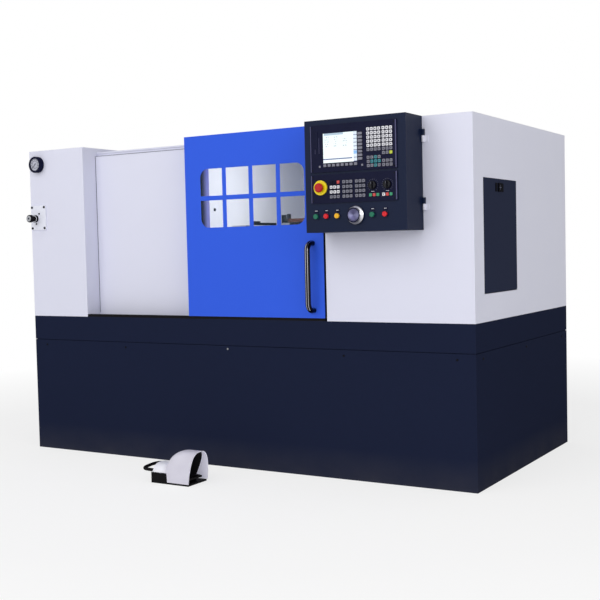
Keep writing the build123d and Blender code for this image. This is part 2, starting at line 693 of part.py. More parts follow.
def control_mats():
    """Key mats of the control unit: columns, rows, left, top, key width and steps."""
    left = BOX_LEFT + UNIT_LEFT
    top = UNIT_Z + UNIT_HEIGHT
    screen_left = left + SCREEN_LEFT
    screen_right = screen_left + SCREEN_WIDTH
    screen_bottom = top - SCREEN_TOP - SCREEN_HEIGHT
    letters = screen_right + 2.75 * KEY_PITCH
    numbers = letters + 4.2 * KEY_PITCH
    soft_top = top - SCREEN_TOP - 2 * MAT_MARGIN
    soft_step = (SCREEN_WIDTH - SOFT_NARROW) / 7
    return [
        (1, 8, screen_right + 2 * MAT_MARGIN, soft_top, SOFT_WIDE, SOFT_WIDE, SOFT_STEP),
        (8, 1, screen_left, screen_bottom - 2 * MAT_MARGIN, SOFT_NARROW, soft_step, KEY_PITCH),
        (4, 6, letters, top - 0.72 * SCREEN_TOP),
        (3, 7, numbers, top - 0.72 * SCREEN_TOP),
        (4, 3, letters, top - SCREEN_TOP / 2 - 7.4 * KEY_PITCH),
        (3, 2, numbers, top - SCREEN_TOP / 2 - 8.4 * KEY_PITCH),
    ]


def panel_mats():
    """Key mats of the machine panel: columns, rows, left, top, key width and steps."""
    left = BOX_LEFT + UNIT_LEFT
    top = CONTROL_Z + 1.34 * PANEL_STEP
    first = left + ESTOP_LEFT + COLLAR_RADIUS + KEY
    second = first + 3.6 * KEY_PITCH
    third = second + 3.6 * KEY_PITCH
    low = top - 3 * PANEL_STEP
    colour_keys = left + OVERRIDE_LEFT[0] - KEY_PITCH
    return [
        (3, 4, first, top, KEY, KEY_PITCH, PANEL_STEP),
        (3, 4, second, top, KEY, KEY_PITCH, PANEL_STEP),
        (3, 4, third, top, KEY, KEY_PITCH, PANEL_STEP),
        (3, 1, colour_keys, low),
        (3, 1, colour_keys + 3.6 * KEY_PITCH, low),
    ]


def bezel_plate(bottom, height, chassis):
    """Front plate with its chassis behind, sized to the box's cut-out."""
    left = BOX_LEFT + UNIT_LEFT
    plate_y = (BOX_FRONT - BEZEL, BOX_FRONT)
    body = block((left, left + UNIT_WIDTH), plate_y, (bottom, bottom + height))
    lap = BEZEL_LAP + FIT
    body += block(
        (left + lap, left + UNIT_WIDTH - lap),
        (BOX_FRONT, BOX_FRONT + chassis),
        (bottom + lap, bottom + height - lap),
    )
    return body


def screen_block(depth):
    """Screen glass, or the pocket for it, of the given depth."""
    left = BOX_LEFT + UNIT_LEFT + SCREEN_LEFT
    top = UNIT_Z + UNIT_HEIGHT - SCREEN_TOP
    face_y = BOX_FRONT - BEZEL
    return block((left, left + SCREEN_WIDTH), (face_y, face_y + depth), (top - SCREEN_HEIGHT, top))


def control_unit():
    """Control unit: bezel with screen and key pockets, and its chassis."""
    body = bezel_plate(UNIT_Z, UNIT_HEIGHT, UNIT_CHASSIS) - screen_block(SCREEN_THICKNESS)
    for mat in control_mats():
        body -= key_pocket(*mat)
    return body


def screen():
    """Screen glass, flush in the bezel."""
    return screen_block(SCREEN_THICKNESS)


def control_keys():
    """All key mats of the control unit."""
    return Part() + [key_block(*mat) for mat in control_mats()]


def machine_panel():
    """Machine panel: bezel, key pockets and holes for the stop and the knobs."""
    body = bezel_plate(PANEL_Z, PANEL_HEIGHT, PANEL_CHASSIS)
    for mat in panel_mats():
        body -= key_pocket(*mat)
    through = (BOX_FRONT - 2 * BEZEL, BOX_FRONT + 2 * PANEL_CHASSIS)
    left = BOX_LEFT + UNIT_LEFT
    body -= rod_y(MUSHROOM_STEM + RUNNING, left + ESTOP_LEFT, through, CONTROL_Z)
    for place in OVERRIDE_LEFT:
        body -= rod_y(SMALL_STEM + RUNNING, left + place, through, CONTROL_Z)
    return body


def panel_keys():
    """All key mats of the machine panel."""
    return Part() + [key_block(*mat) for mat in panel_mats()]


def estop_collar():
    """Yellow ring round the emergency stop."""
    centre_x = BOX_LEFT + UNIT_LEFT + ESTOP_LEFT
    front_y = BOX_FRONT - BEZEL
    ring_y = (front_y - COLLAR_THICKNESS, front_y)
    body = rod_y(COLLAR_RADIUS, centre_x, ring_y, CONTROL_Z)
    return body - rod_y(MUSHROOM_STEM + RUNNING, centre_x, ring_y, CONTROL_Z)


def estop_button():
    """Red mushroom with its stem."""
    centre_x = BOX_LEFT + UNIT_LEFT + ESTOP_LEFT
    start = ESTOP_TRAVEL + 1
    tip = start + MUSHROOM_HEIGHT
    dome = MUSHROOM_HEIGHT / 3
    profile = [
        (0, -PANEL_CHASSIS / 2),
        (MUSHROOM_STEM, -PANEL_CHASSIS / 2),
        (MUSHROOM_STEM, start),
        (MUSHROOM_RADIUS, start + dome / 2),
        (MUSHROOM_RADIUS, tip - dome),
        (MUSHROOM_RADIUS - dome, tip),
        (0, tip),
    ]
    return turned_y(profile, centre_x, CONTROL_Z, BOX_FRONT - BEZEL - COLLAR_THICKNESS)


def override_knob(place):
    """Rotary override knob with a pointer ridge."""
    centre_x = BOX_LEFT + UNIT_LEFT + place
    face = FIT
    profile = [
        (0, -PANEL_CHASSIS / 2),
        (SMALL_STEM, -PANEL_CHASSIS / 2),
        (SMALL_STEM, face),
        (OVERRIDE_RADIUS, face),
        (OVERRIDE_RADIUS - 1, OVERRIDE_HEIGHT / 2),
        (OVERRIDE_RADIUS - 4, OVERRIDE_HEIGHT / 2 + 1),
        (0, OVERRIDE_HEIGHT / 2 + 1),
    ]
    body = turned_y(profile, centre_x, CONTROL_Z, BOX_FRONT - BEZEL)
    ridge_x = (centre_x - 2.5, centre_x + 2.5)
    ridge_y = (BOX_FRONT - BEZEL - OVERRIDE_HEIGHT, BOX_FRONT - BEZEL - OVERRIDE_HEIGHT / 2)
    reach = OVERRIDE_RADIUS - 2
    return body + block(ridge_x, ridge_y, (CONTROL_Z - reach, CONTROL_Z + reach))


def push_button(place):
    """Round push button cap with its stem."""
    gap = BUTTON_TRAVEL + FIT
    profile = [
        (0, -PANEL_CHASSIS / 2),
        (BUTTON_STEM, -PANEL_CHASSIS / 2),
        (BUTTON_STEM, gap),
        (BUTTON_RADIUS, gap),
        (BUTTON_RADIUS, BUTTON_RISE - 1),
        (BUTTON_RADIUS - 1, BUTTON_RISE),
        (0, BUTTON_RISE),
    ]
    return turned_y(profile, BOX_LEFT + place, BUTTON_Z, BOX_FRONT)


def handwheel():
    """Pulse handwheel: round flange with a raised dial."""
    rim = WHEEL_RADIUS / 8
    profile = [
        (0, -PANEL_CHASSIS / 2),
        (WHEEL_STEM, -PANEL_CHASSIS / 2),
        (WHEEL_STEM, FIT),
        (WHEEL_RADIUS - rim, FIT),
        (WHEEL_RADIUS, rim),
        (WHEEL_RADIUS, 2 * rim),
        (WHEEL_RADIUS - rim / 2, 2.5 * rim),
        (DIAL_RADIUS, 3 * rim),
        (DIAL_RADIUS, WHEEL_DEPTH - 1),
        (DIAL_RADIUS - 1, WHEEL_DEPTH),
        (0, WHEEL_DEPTH),
    ]
    return turned_y(profile, BOX_LEFT + WHEEL_LEFT, BUTTON_Z, BOX_FRONT)


# Side hatch

def side_hatch():
    """Folded hatch pan, rounded round its lower hinge line, with two end pins."""
    hatch_y = (HATCH_Y, HATCH_Y + HATCH_WIDTH)
    hatch_x = (RIGHT - HATCH_THICKNESS, RIGHT)
    body = block(hatch_x, hatch_y, (HATCH_AXIS_Z, HATCH_Z + HATCH_HEIGHT))
    body += rod_y(HATCH_THICKNESS / 2, HATCH_AXIS_X, hatch_y, HATCH_AXIS_Z)
    reach = HATCH_GAP + SHEET
    pin_y = (HATCH_Y - reach, HATCH_Y + HATCH_WIDTH + reach)
    body += rod_y(HATCH_PIN, HATCH_AXIS_X, pin_y, HATCH_AXIS_Z)
    over = (RIGHT - 2 * HATCH_THICKNESS, RIGHT + HATCH_THICKNESS)
    inside_y = (HATCH_Y + SHEET, HATCH_Y + HATCH_WIDTH - SHEET)
    inside_z = (HATCH_AXIS_Z + HATCH_THICKNESS, HATCH_Z + HATCH_HEIGHT - SHEET)
    body -= block((over[0], RIGHT - SHEET), inside_y, inside_z)
    return body - rod_x(LATCH_STEM + RUNNING, over, LATCH_Y, LATCH_Z)


def hatch_latch():
    """Square quarter-turn latch with its stem and inner cam."""
    half = LATCH_SIZE / 2
    head_x = (RIGHT, RIGHT + LATCH_RISE)
    square_y = (LATCH_Y - half, LATCH_Y + half)
    square_z = (LATCH_Z - half, LATCH_Z + half)
    body = block(head_x, square_y, square_z)
    inner = RIGHT - HATCH_THICKNESS
    body += rod_x(LATCH_STEM, (inner - CAM_THICKNESS, RIGHT), LATCH_Y, LATCH_Z)
    cam_x = (inner - CAM_THICKNESS, inner)
    cam_y = (LATCH_Y - LATCH_STEM, LATCH_Y + LATCH_STEM)
    return body + block(cam_x, cam_y, (LATCH_Z - LATCH_STEM, LATCH_Z + LATCH_CAM))


# Tower fittings

def pressure_gauge():
    """Round gauge case with a dished dial."""
    rim = GAUGE_RADIUS - GAUGE_RIM
    profile = [
        (0, 0),
        (GAUGE_RADIUS - 2, 0),
        (GAUGE_RADIUS, 2),
        (GAUGE_RADIUS, GAUGE_DEPTH - 2),
        (GAUGE_RADIUS - 2, GAUGE_DEPTH),
        (rim, GAUGE_DEPTH),
        (rim, GAUGE_DEPTH - GAUGE_DISH),
        (0, GAUGE_DEPTH - GAUGE_DISH),
    ]
    body = turned_y(profile, LEFT + GAUGE_LEFT, GAUGE_HEIGHT, FRONT)
    pivot_y = (FRONT - GAUGE_DEPTH, FRONT - GAUGE_DEPTH + 2 * GAUGE_DISH)
    return body - rod_y(2 + RUNNING, LEFT + GAUGE_LEFT, pivot_y, GAUGE_HEIGHT)


def gauge_needle():
    """Needle with its pivot pin, pointing down to the left at rest."""
    centre_x = LEFT + GAUGE_LEFT
    dial_y = FRONT - GAUGE_DEPTH + GAUGE_DISH
    hub_y = (dial_y - 2 * NEEDLE_THICKNESS, dial_y + GAUGE_DISH)
    body = rod_y(2, centre_x, hub_y, GAUGE_HEIGHT)
    reach = GAUGE_RADIUS - GAUGE_RIM - 6
    blade = make_face(Polyline((-8, -2), (-8, 2), (reach, 0.5), (reach, -0.5), close=True))
    blade = Pos(centre_x, GAUGE_HEIGHT) * Rot(0, 0, -135) * blade
    blade_y = (dial_y - 2 * NEEDLE_THICKNESS, dial_y - NEEDLE_THICKNESS)
    return body + front_cut(blade, blade_y)


def valve_plate():
    """Valve plate with its collar, bored for the knob's stem."""
    plate_x = (LEFT + PLATE_INSET, LEFT + PLATE_INSET + PLATE_WIDTH)
    plate_y = (FRONT - PLATE_THICKNESS, FRONT)
    body = block(plate_x, plate_y, (PLATE_BOTTOM, PLATE_BOTTOM + PLATE_HEIGHT))
    centre_x = LEFT + KNOB_LEFT
    collar_y = (FRONT - PLATE_THICKNESS - COLLAR_LENGTH, FRONT - PLATE_THICKNESS)
    body += rod_y(KNOB_COLLAR, centre_x, collar_y, KNOB_HEIGHT)
    return body - rod_y(5 + RUNNING, centre_x, (collar_y[0], FRONT), KNOB_HEIGHT)


def valve_knob():
    """Flared valve knob with its stem."""
    start = COLLAR_LENGTH + FIT
    tip = KNOB_REACH - PLATE_THICKNESS
    profile = [
        (0, 0),
        (5, 0),
        (5, start),
        (KNOB_RADIUS - 5, start),
        (KNOB_RADIUS - 5, start + 8),
        (KNOB_RADIUS, tip - 10),
        (KNOB_RADIUS, tip - 2),
        (KNOB_RADIUS - 2, tip),
        (0, tip),
    ]
    return turned_y(profile, LEFT + KNOB_LEFT, KNOB_HEIGHT, FRONT - PLATE_THICKNESS)


# Headstock and spindle

def bed_casting():
    """Bed with two raised ways, a screw trough and a headstock seat."""
    corners = [
        (BED_FRONT, STAND_HEIGHT),
        (BED_BACK, STAND_HEIGHT),
        (BED_BACK, BED_TOP),
        (BED_FRONT, BED_TOP),
    ]
    body = along_x(corners, (HEAD_LEFT, BED_RIGHT))
    for way_y in ((BED_FRONT, BED_FRONT + WAY_WIDTH), (BED_BACK - WAY_WIDTH, BED_BACK)):
        body += block((WALL_X, BED_RIGHT), way_y, (BED_TOP, WAY_TOP))
    trough_x = (WALL_X + SCREW_WALL, BED_RIGHT - SCREW_WALL)
    trough_y = (SCREW_Y - TROUGH_WIDTH / 2, SCREW_Y + TROUGH_WIDTH / 2)
    body -= block(trough_x, trough_y, (BED_TOP - TROUGH_DEPTH, BED_TOP))
    bore_x = (WALL_X, BED_RIGHT + SCREW_WALL)
    return body - rod_x(SCREW_RADIUS + RUNNING, bore_x, SCREW_Y, SCREW_Z)


def headstock():
    """Headstock casting, bored for the spindle with a chamber for the motor."""
    width_y = (SPINDLE_Y - HEAD_WIDTH / 2, SPINDLE_Y + HEAD_WIDTH / 2)
    shoulder = HEAD_WIDTH / 5
    top = SPINDLE_Z + HEAD_TOP
    corners = [
        (width_y[0], BED_TOP),
        (width_y[1], BED_TOP),
        (width_y[1], top - shoulder),
        (width_y[1] - shoulder, top),
        (width_y[0] + shoulder, top),
        (width_y[0], top - shoulder),
    ]
    body = along_x(corners, (HEAD_LEFT, HEAD_RIGHT))
    body -= rod_x(BEARING_RADIUS + RUNNING, (HEAD_LEFT, HEAD_RIGHT), SPINDLE_Y, SPINDLE_Z)
    half = STATOR_LENGTH / 2 + FIT
    chamber_x = (STATOR_MIDDLE - half, STATOR_MIDDLE + half)
    return body - rod_x(STATOR_RADIUS + FIT, chamber_x, SPINDLE_Y, SPINDLE_Z)


def spindle_stator():
    """Ring of the built-in spindle motor."""
    ring_x = (STATOR_MIDDLE - STATOR_LENGTH / 2, STATOR_MIDDLE + STATOR_LENGTH / 2)
    body = rod_x(STATOR_RADIUS, ring_x, SPINDLE_Y, SPINDLE_Z)
    return body - rod_x(STATOR_BORE, ring_x, SPINDLE_Y, SPINDLE_Z)


def spindle():
    """Hollow spindle: tail, bearing seats, rotor and nose flange."""
    body = rod_x(BEARING_RADIUS, (HEAD_LEFT, HEAD_RIGHT), SPINDLE_Y, SPINDLE_Z)
    half = STATOR_LENGTH / 2
    rotor_x = (STATOR_MIDDLE - half, STATOR_MIDDLE + half)
    body += rod_x(ROTOR_RADIUS, rotor_x, SPINDLE_Y, SPINDLE_Z)
    body += rod_x(TAIL_RADIUS, (SPINDLE_TAIL, HEAD_LEFT), SPINDLE_Y, SPINDLE_Z)
    body += rod_x(NOSE_RADIUS, (HEAD_RIGHT + FIT, NOSE_END), SPINDLE_Y, SPINDLE_Z)
    body += rod_x(BEARING_RADIUS, (HEAD_RIGHT, NOSE_END), SPINDLE_Y, SPINDLE_Z)
    return body - rod_x(BAR_RADIUS, (SPINDLE_TAIL, NOSE_END), SPINDLE_Y, SPINDLE_Z)


def jaw_angle(number):
    """Angle of one jaw round the spindle axis, in degrees from straight up."""
    return number * 360 / JAW_COUNT


def turned_jaw(shape, number):
    """Shape drawn above the spindle axis, turned to a jaw's place."""
    return Pos(0, SPINDLE_Y, SPINDLE_Z) * Rot(jaw_angle(number), 0, 0) * shape


def chuck():
    """Chuck body with a radial slot for each jaw."""
    body = rod_x(CHUCK_RADIUS, (NOSE_END, CHUCK_END), SPINDLE_Y, SPINDLE_Z)
    body -= rod_x(BAR_RADIUS, (NOSE_END, CHUCK_END), SPINDLE_Y, SPINDLE_Z)
    half = JAW_WIDTH / 2 + RUNNING
    for number in range(JAW_COUNT):
        slot = block((CHUCK_END - SLOT_DEPTH, CHUCK_END), (-half, half), (0, 2 * CHUCK_RADIUS))
        body -= turned_jaw(slot, number)
    return body


def chuck_jaw(number):
    """Stepped jaw with its tongue in the chuck's slot."""
    half = JAW_WIDTH / 2
    tongue = (CHUCK_END - SLOT_DEPTH, CHUCK_END + JAW_STEP)
    body = block(tongue, (-half, half), (JAW_INNER, JAW_OUTER))
    body += block(
        (CHUCK_END, CHUCK_END + JAW_HEIGHT),
        (-half, half),
        (JAW_INNER, JAW_OUTER - JAW_STEP),
    )
    body += block(
        (CHUCK_END, CHUCK_END + JAW_HEIGHT / 2 + JAW_STEP / 2),
        (-half, half),
        (JAW_INNER, JAW_OUTER - JAW_STEP / 2),
    )
    return turned_jaw(body, number)


def chuck_cylinder():
    """Rotating cylinder on the spindle's tail that works the chuck."""
    end = SPINDLE_TAIL - CYLINDER_LENGTH
    step = CYLINDER_LENGTH / 3
    body = rod_x(CYLINDER_RADIUS, (end + step, SPINDLE_TAIL), SPINDLE_Y, SPINDLE_Z)
    body += rod_x(CYLINDER_RADIUS * 0.7, (end, end + step), SPINDLE_Y, SPINDLE_Z)
    return body - rod_x(BAR_RADIUS, (end, SPINDLE_TAIL), SPINDLE_Y, SPINDLE_Z)


# Feed

def saddle():
    """Saddle across both ways, with the screw nut below and a gib rail above."""
    saddle_x = (SADDLE_LEFT, SADDLE_LEFT + SADDLE_LENGTH)
    body = block(saddle_x, (BED_FRONT, BED_BACK), (WAY_TOP, SADDLE_TOP))
    keep = WAY_WIDTH + FIT
    between = (BED_FRONT + keep, BED_BACK - keep)
    body += block(saddle_x, between, (BED_TOP + FIT, WAY_TOP))
    half = TROUGH_WIDTH / 2 - 10
    nut_y = (SCREW_Y - half, SCREW_Y + half)
    nut_z = (SCREW_Z - half, BED_TOP + FIT)
    middle = SADDLE_LEFT + SADDLE_LENGTH / 2
    nut_x = (middle - NUT_LENGTH / 2, middle + NUT_LENGTH / 2)
    body += block(nut_x, nut_y, nut_z)
    body -= rod_x(SCREW_RADIUS + RUNNING, saddle_x, SCREW_Y, SCREW_Z)
    rail_x = (middle - GIB_WIDTH / 2, middle + GIB_WIDTH / 2)
    return body + block(rail_x, (BED_FRONT, BED_BACK), (SADDLE_TOP, SADDLE_TOP + GIB_HEIGHT))


def feed_screw():
    """Ball screw along the bed."""
    return rod_x(SCREW_RADIUS, (WALL_X + 1, BED_RIGHT), SCREW_Y, SCREW_Z)


def feed_servo():
    """Servo motor in the right cabinet, its snout through the cabinet wall to the bed."""
    seat = CABINET_LEFT + SHEET
    body = rod_x(SERVO_SNOUT, (BED_RIGHT + FIT, seat), SCREW_Y, SCREW_Z)
    half = SERVO_SIZE / 2
    around_y = (SCREW_Y - half, SCREW_Y + half)
    around_z = (SCREW_Z - half, SCREW_Z + half)
    return body + block((seat, seat + SERVO_LENGTH), around_y, around_z)


def cross_slide():
    """Cross slide, grooved over the saddle's gib rail."""
    slide_x = (SADDLE_LEFT, SADDLE_LEFT + SADDLE_LENGTH - SADDLE_OVERHANG)
    slide_y = (TURRET_Y - SLIDE_LENGTH / 2, TURRET_Y + SLIDE_LENGTH / 2)
    body = block(slide_x, slide_y, (SADDLE_TOP, SLIDE_TOP))
    middle = SADDLE_LEFT + SADDLE_LENGTH / 2
    groove_x = (middle - GIB_WIDTH / 2 - FIT, middle + GIB_WIDTH / 2 + FIT)
    return body - block(groove_x, slide_y, (SADDLE_TOP, SADDLE_TOP + GIB_HEIGHT))


def cross_servo():
    """Servo motor on the back end of the saddle."""
    middle = SADDLE_LEFT + SADDLE_LENGTH / 2
    half = SERVO_SIZE / 2
    servo_x = (middle - half, middle + half)
    servo_y = (BED_BACK, BED_BACK + SERVO_LENGTH)
    return block(servo_x, servo_y, (WAY_TOP + FIT, WAY_TOP + FIT + SERVO_SIZE))


def turret_head():
    """Turret housing: rounded block on the cross slide, bored for the disc's boss."""
    left = DISC_RIGHT + DISC_GAP
    head_x = (left, left + HEAD_BODY_LENGTH)
    side_y = (TURRET_Y - HEAD_BODY_RADIUS, TURRET_Y + HEAD_BODY_RADIUS)
    body = block(head_x, side_y, (SLIDE_TOP, SPINDLE_Z))
    body += rod_x(HEAD_BODY_RADIUS, head_x, TURRET_Y, SPINDLE_Z)
    boss_x = (left, left + HEAD_BODY_LENGTH / 2)
    return body - rod_x(DISC_BOSS + RUNNING, boss_x, TURRET_Y, SPINDLE_Z)


def turned_tool(shape, number, count):
    """Shape drawn above the turret axis, turned to a station."""
    return Pos(0, TURRET_Y, SPINDLE_Z) * Rot(number * 360 / count, 0, 0) * shape


def turret_disc():
    """Eight-sided turret disc with a radial tool slot in each side."""
    outline = RegularPolygon(DISC_RADIUS, DISC_STATIONS, rotation=180 / DISC_STATIONS)
    plane = Plane(origin=(DISC_LEFT, TURRET_Y, SPINDLE_Z), x_dir=(0, 1, 0), z_dir=(1, 0, 0))
    body = extrude(plane * outline, amount=DISC_THICKNESS)
    half = TOOL_SHANK / 2 + FIT
    flat = DISC_RADIUS * cos(pi / DISC_STATIONS)
    slot_x = (DISC_LEFT, DISC_LEFT + TOOL_SHANK + FIT)
    for number in range(DISC_STATIONS):
        slot = block(slot_x, (-half, half), (flat - TOOL_BLOCK, 2 * flat))
        body -= turned_tool(slot, number, DISC_STATIONS)
    boss_x = (DISC_RIGHT, DISC_RIGHT + HEAD_BODY_LENGTH / 3)
    return body + rod_x(DISC_BOSS, boss_x, TURRET_Y, SPINDLE_Z)


def tool_holders():
    """Clamp block and tool shank at every other station."""
    flat = DISC_RADIUS * cos(pi / DISC_STATIONS)
    half = TOOL_BLOCK / 2
    clamp_x = (DISC_LEFT + TOOL_SHANK + FIT, DISC_LEFT + DISC_THICKNESS)
    clamp = block(clamp_x, (-half, half), (flat, flat + TOOL_REACH / 2))
    shank_half = TOOL_SHANK / 2
    shank_x = (DISC_LEFT, DISC_LEFT + TOOL_SHANK + FIT)
    shank = block(shank_x, (-shank_half, shank_half), (flat - TOOL_BLOCK, flat + TOOL_REACH))
    holder = clamp + shank
    return Part() + [turned_tool(holder, number, TOOL_COUNT) for number in range(TOOL_COUNT)]


def electrical_plate():
    """Back plate across the right cabinet with drive modules on its front."""
    plate_x = (CABINET_LEFT + SHEET, RIGHT - SHEET)
    plate_z = (PAN_TOP, MACHINE_HEIGHT - SHEET - MODULE_GAP)
    body = block(plate_x, (BACKPLATE_Y, BACKPLATE_Y + SHEET), plate_z)
    left = plate_x[0] + 2 * MODULE_GAP
    for width, height in MODULE_SIZES:
        top = plate_z[1] - 2 * MODULE_GAP
        module_y = (BACKPLATE_Y - MODULE_DEPTH, BACKPLATE_Y)
        body += block((left, left + width), module_y, (top - height, top))
        left += width + MODULE_GAP
    return body


# Foot pedal

def pedal_profile(inset):
    """Side outline of the guard as (x, z) corners and arcs, moved in by a wall."""
    right = PEDAL_RIGHT + inset
    left = PEDAL_LEFT + inset
    top = PEDAL_HEIGHT - inset
    deck = PEDAL_DECK - inset
    crest_right = PEDAL_RIGHT + PEDAL_FLARE + inset
    crest_left = crest_right - PEDAL_WIDTH / 3
    hood_left = PEDAL_LEFT + HOOD_SETBACK + inset
    lines = Line((right, PEDAL_FLOOR), (crest_right, top))
    lines += Line((crest_right, top), (crest_left, top))
    sagitta = (crest_left - hood_left) * 0.22
    lines += SagittaArc((crest_left, top), (hood_left, deck), -sagitta)
    lines += Line((hood_left, deck), (left, deck - 6))
    lines += Line((left, deck - 6), (left, PEDAL_FLOOR))
    lines += Line((left, PEDAL_FLOOR), (right, PEDAL_FLOOR))
    return make_face(lines)


def pedal_arch(inset):
    """Arched cross-section of the guard as (y, z)."""
    half = PEDAL_WIDTH / 2 - inset
    top = PEDAL_HEIGHT - inset
    flat = Pos(PEDAL_Y, (top - half) / 2) * Rectangle(2 * half, top - half)
    return flat + Pos(PEDAL_Y, top - half) * Circle(half)


def pedal_form(inset):
    """Guard's outer form, or its inside when moved in by a wall."""
    limits_y = (PEDAL_Y - PEDAL_WIDTH / 2, PEDAL_Y + PEDAL_WIDTH / 2)
    side = front_cut(pedal_profile(inset), limits_y)
    plane = Plane(origin=(PEDAL_RIGHT - 2 * PEDAL_LENGTH, 0, 0), x_dir=(0, 1, 0), z_dir=(1, 0, 0))
    arch = extrude(plane * pedal_arch(inset), amount=3 * PEDAL_LENGTH)
    return side & arch


def pedal_guard():
    """Arched guard, one thin moulding open at the right and below."""
    body = pedal_form(0) - pedal_form(PEDAL_WALL)
    block_right = PEDAL_LEFT + PEDAL_BLOCK
    lid = BLOCK_TOP + FIT
    cut_x = (PEDAL_RIGHT - 2 * PEDAL_LENGTH, block_right)
    cut_y = (PEDAL_Y - PEDAL_WIDTH, PEDAL_Y + PEDAL_WIDTH)
    return body - block(cut_x, cut_y, (0, lid))


def pedal_base():
    """Floor plate with the switch block and the treadle's pivot cheeks."""
    half = PEDAL_WIDTH / 2
    body = block((PEDAL_LEFT, PEDAL_RIGHT), (PEDAL_Y - half, PEDAL_Y + half), (0, PEDAL_FLOOR))
    block_right = PEDAL_LEFT + PEDAL_BLOCK - FIT
    body += block((PEDAL_LEFT, block_right), (PEDAL_Y - half, PEDAL_Y + half), (0, BLOCK_TOP))
    for side in (-1, 1):
        outer = half - PEDAL_WALL - CHEEK_GAP
        cheek_y = sorted((PEDAL_Y + side * outer, PEDAL_Y + side * (outer - CHEEK_WIDTH)))
        cheek_top = TREADLE_Z + TREADLE_PIN + 6
        cheek_x = (TREADLE_X - CHEEK_HALF, TREADLE_X + CHEEK_HALF)
        cheek = block(cheek_x, cheek_y, (PEDAL_FLOOR, cheek_top))
        body += cheek - rod_y(TREADLE_PIN + RUNNING, TREADLE_X, cheek_y, TREADLE_Z)
    return body


def pedal_treadle():
    """Ribbed treadle with its pivot pin."""
    half = PEDAL_WIDTH / 2 - TREADLE_RIM
    top = TREADLE_Z + TREADLE_THICKNESS
    side_y = (PEDAL_Y - half, PEDAL_Y + half)
    body = block((TREADLE_X, TREADLE_X + TREADLE_LENGTH), side_y, (TREADLE_Z, top))
    for number in range(6):
        rib_x = TREADLE_X + TREADLE_LENGTH * (number + 3) / 10
        body += block((rib_x, rib_x + 4), side_y, (top, top + 2))
    body += rod_y(7, TREADLE_X, side_y, TREADLE_Z)
    reach = PEDAL_WIDTH / 2 - PEDAL_WALL - 1
    return body + rod_y(TREADLE_PIN, TREADLE_X, (PEDAL_Y - reach, PEDAL_Y + reach), TREADLE_Z)


def pedal_bail():
    """Bent carrying loop from the switch block's left end."""
    half = PEDAL_WIDTH / 2 - BAIL_RADIUS - 6
    corners = [
        (PEDAL_LEFT, PEDAL_Y - half, BAIL_Z),
        (PEDAL_LEFT - BAIL_REACH, PEDAL_Y - half, BAIL_Z),
        (PEDAL_LEFT - BAIL_REACH, PEDAL_Y + half, BAIL_Z),
        (PEDAL_LEFT, PEDAL_Y + half, BAIL_Z),
    ]
    path = FilletPolyline(*corners, radius=BAIL_REACH / 2)
    start = Plane(origin=corners[0], z_dir=(-1, 0, 0))
    return sweep(start * Circle(BAIL_RADIUS), path=path)


PIECES = {
    "base_stand": base_stand(),
    "chip_pan": chip_pan(),
    "tower_cover": tower_cover(),
    "recess_panel": recess_panel(),
    "roof_cover": roof_cover(),
    "chamber_wall": chamber_wall(),
    "right_cabinet": right_cabinet(),
    "upper_track": upper_track(),
    "lower_track": lower_track(),
    "door_seal": door_seal(),
    "door_panel": door_panel(),
    "door_glazing": door_glazing(),
    "door_handle": door_handle(),
    "door_hangers": door_hangers(),
    "operator_box": operator_box(),
    "box_hinges": box_hinges(),
    "control_unit": control_unit(),
    "screen": screen(),
    "control_keys": control_keys(),
    "machine_panel": machine_panel(),
    "panel_keys": panel_keys(),
    "estop_collar": estop_collar(),
    "estop_button": estop_button(),
    "feed_override_knob": override_knob(OVERRIDE_LEFT[0]),
    "rapid_override_knob": override_knob(OVERRIDE_LEFT[1]),
    "handwheel": handwheel(),
    "side_hatch": side_hatch(),
    "hatch_latch": hatch_latch(),
    "pressure_gauge": pressure_gauge(),
    "gauge_needle": gauge_needle(),
    "valve_plate": valve_plate(),
    "valve_knob": valve_knob(),
    "bed_casting": bed_casting(),
    "headstock": headstock(),
    "spindle_stator": spindle_stator(),
    "spindle": spindle(),
    "chuck": chuck(),
    "chuck_cylinder": chuck_cylinder(),
    "saddle": saddle(),
    "feed_screw": feed_screw(),
    "feed_servo": feed_servo(),
    "cross_slide": cross_slide(),
    "cross_servo": cross_servo(),
    "turret_head": turret_head(),
    "turret_disc": turret_disc(),
    "tool_holders": tool_holders(),
    "electrical_plate": electrical_plate(),
    "pedal_base": pedal_base(),
    "pedal_guard": pedal_guard(),
    "pedal_treadle": pedal_treadle(),
    "pedal_bail": pedal_bail(),
}
BUTTON_NAMES = (
    "green_button_left",
    "red_button_left",
    "yellow_button",
    "green_button_right",
    "red_button_right",
)
for name, place in zip(BUTTON_NAMES, BUTTON_LEFT):
    PIECES[name] = push_button(place)
for number in range(JAW_COUNT):
    PIECES[f"jaw_{number + 1}"] = chuck_jaw(number)

os.makedirs("parts", exist_ok=True)
for name, piece in PIECES.items():
    export_step(piece, f"parts/{name}.step")
    print(f"{name}: {len(piece.solids())} solid, {piece.volume / 1000:.1f} cm3")
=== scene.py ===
# %% [markdown]
# # An enclosed CNC turning lathe
# The machine is a navy stand with white sheet covers, a blue sliding door with eight
# panes, and a dark operator box that swings on two hinges. The solids come from a CAD
# model. This notebook gives them their finishes and adds the small parts on top.
# Small parts are given in millimetres and multiplied by MM, because Blender works in
# metres here. The camera, the lamps and a few masks are given in metres straight away.

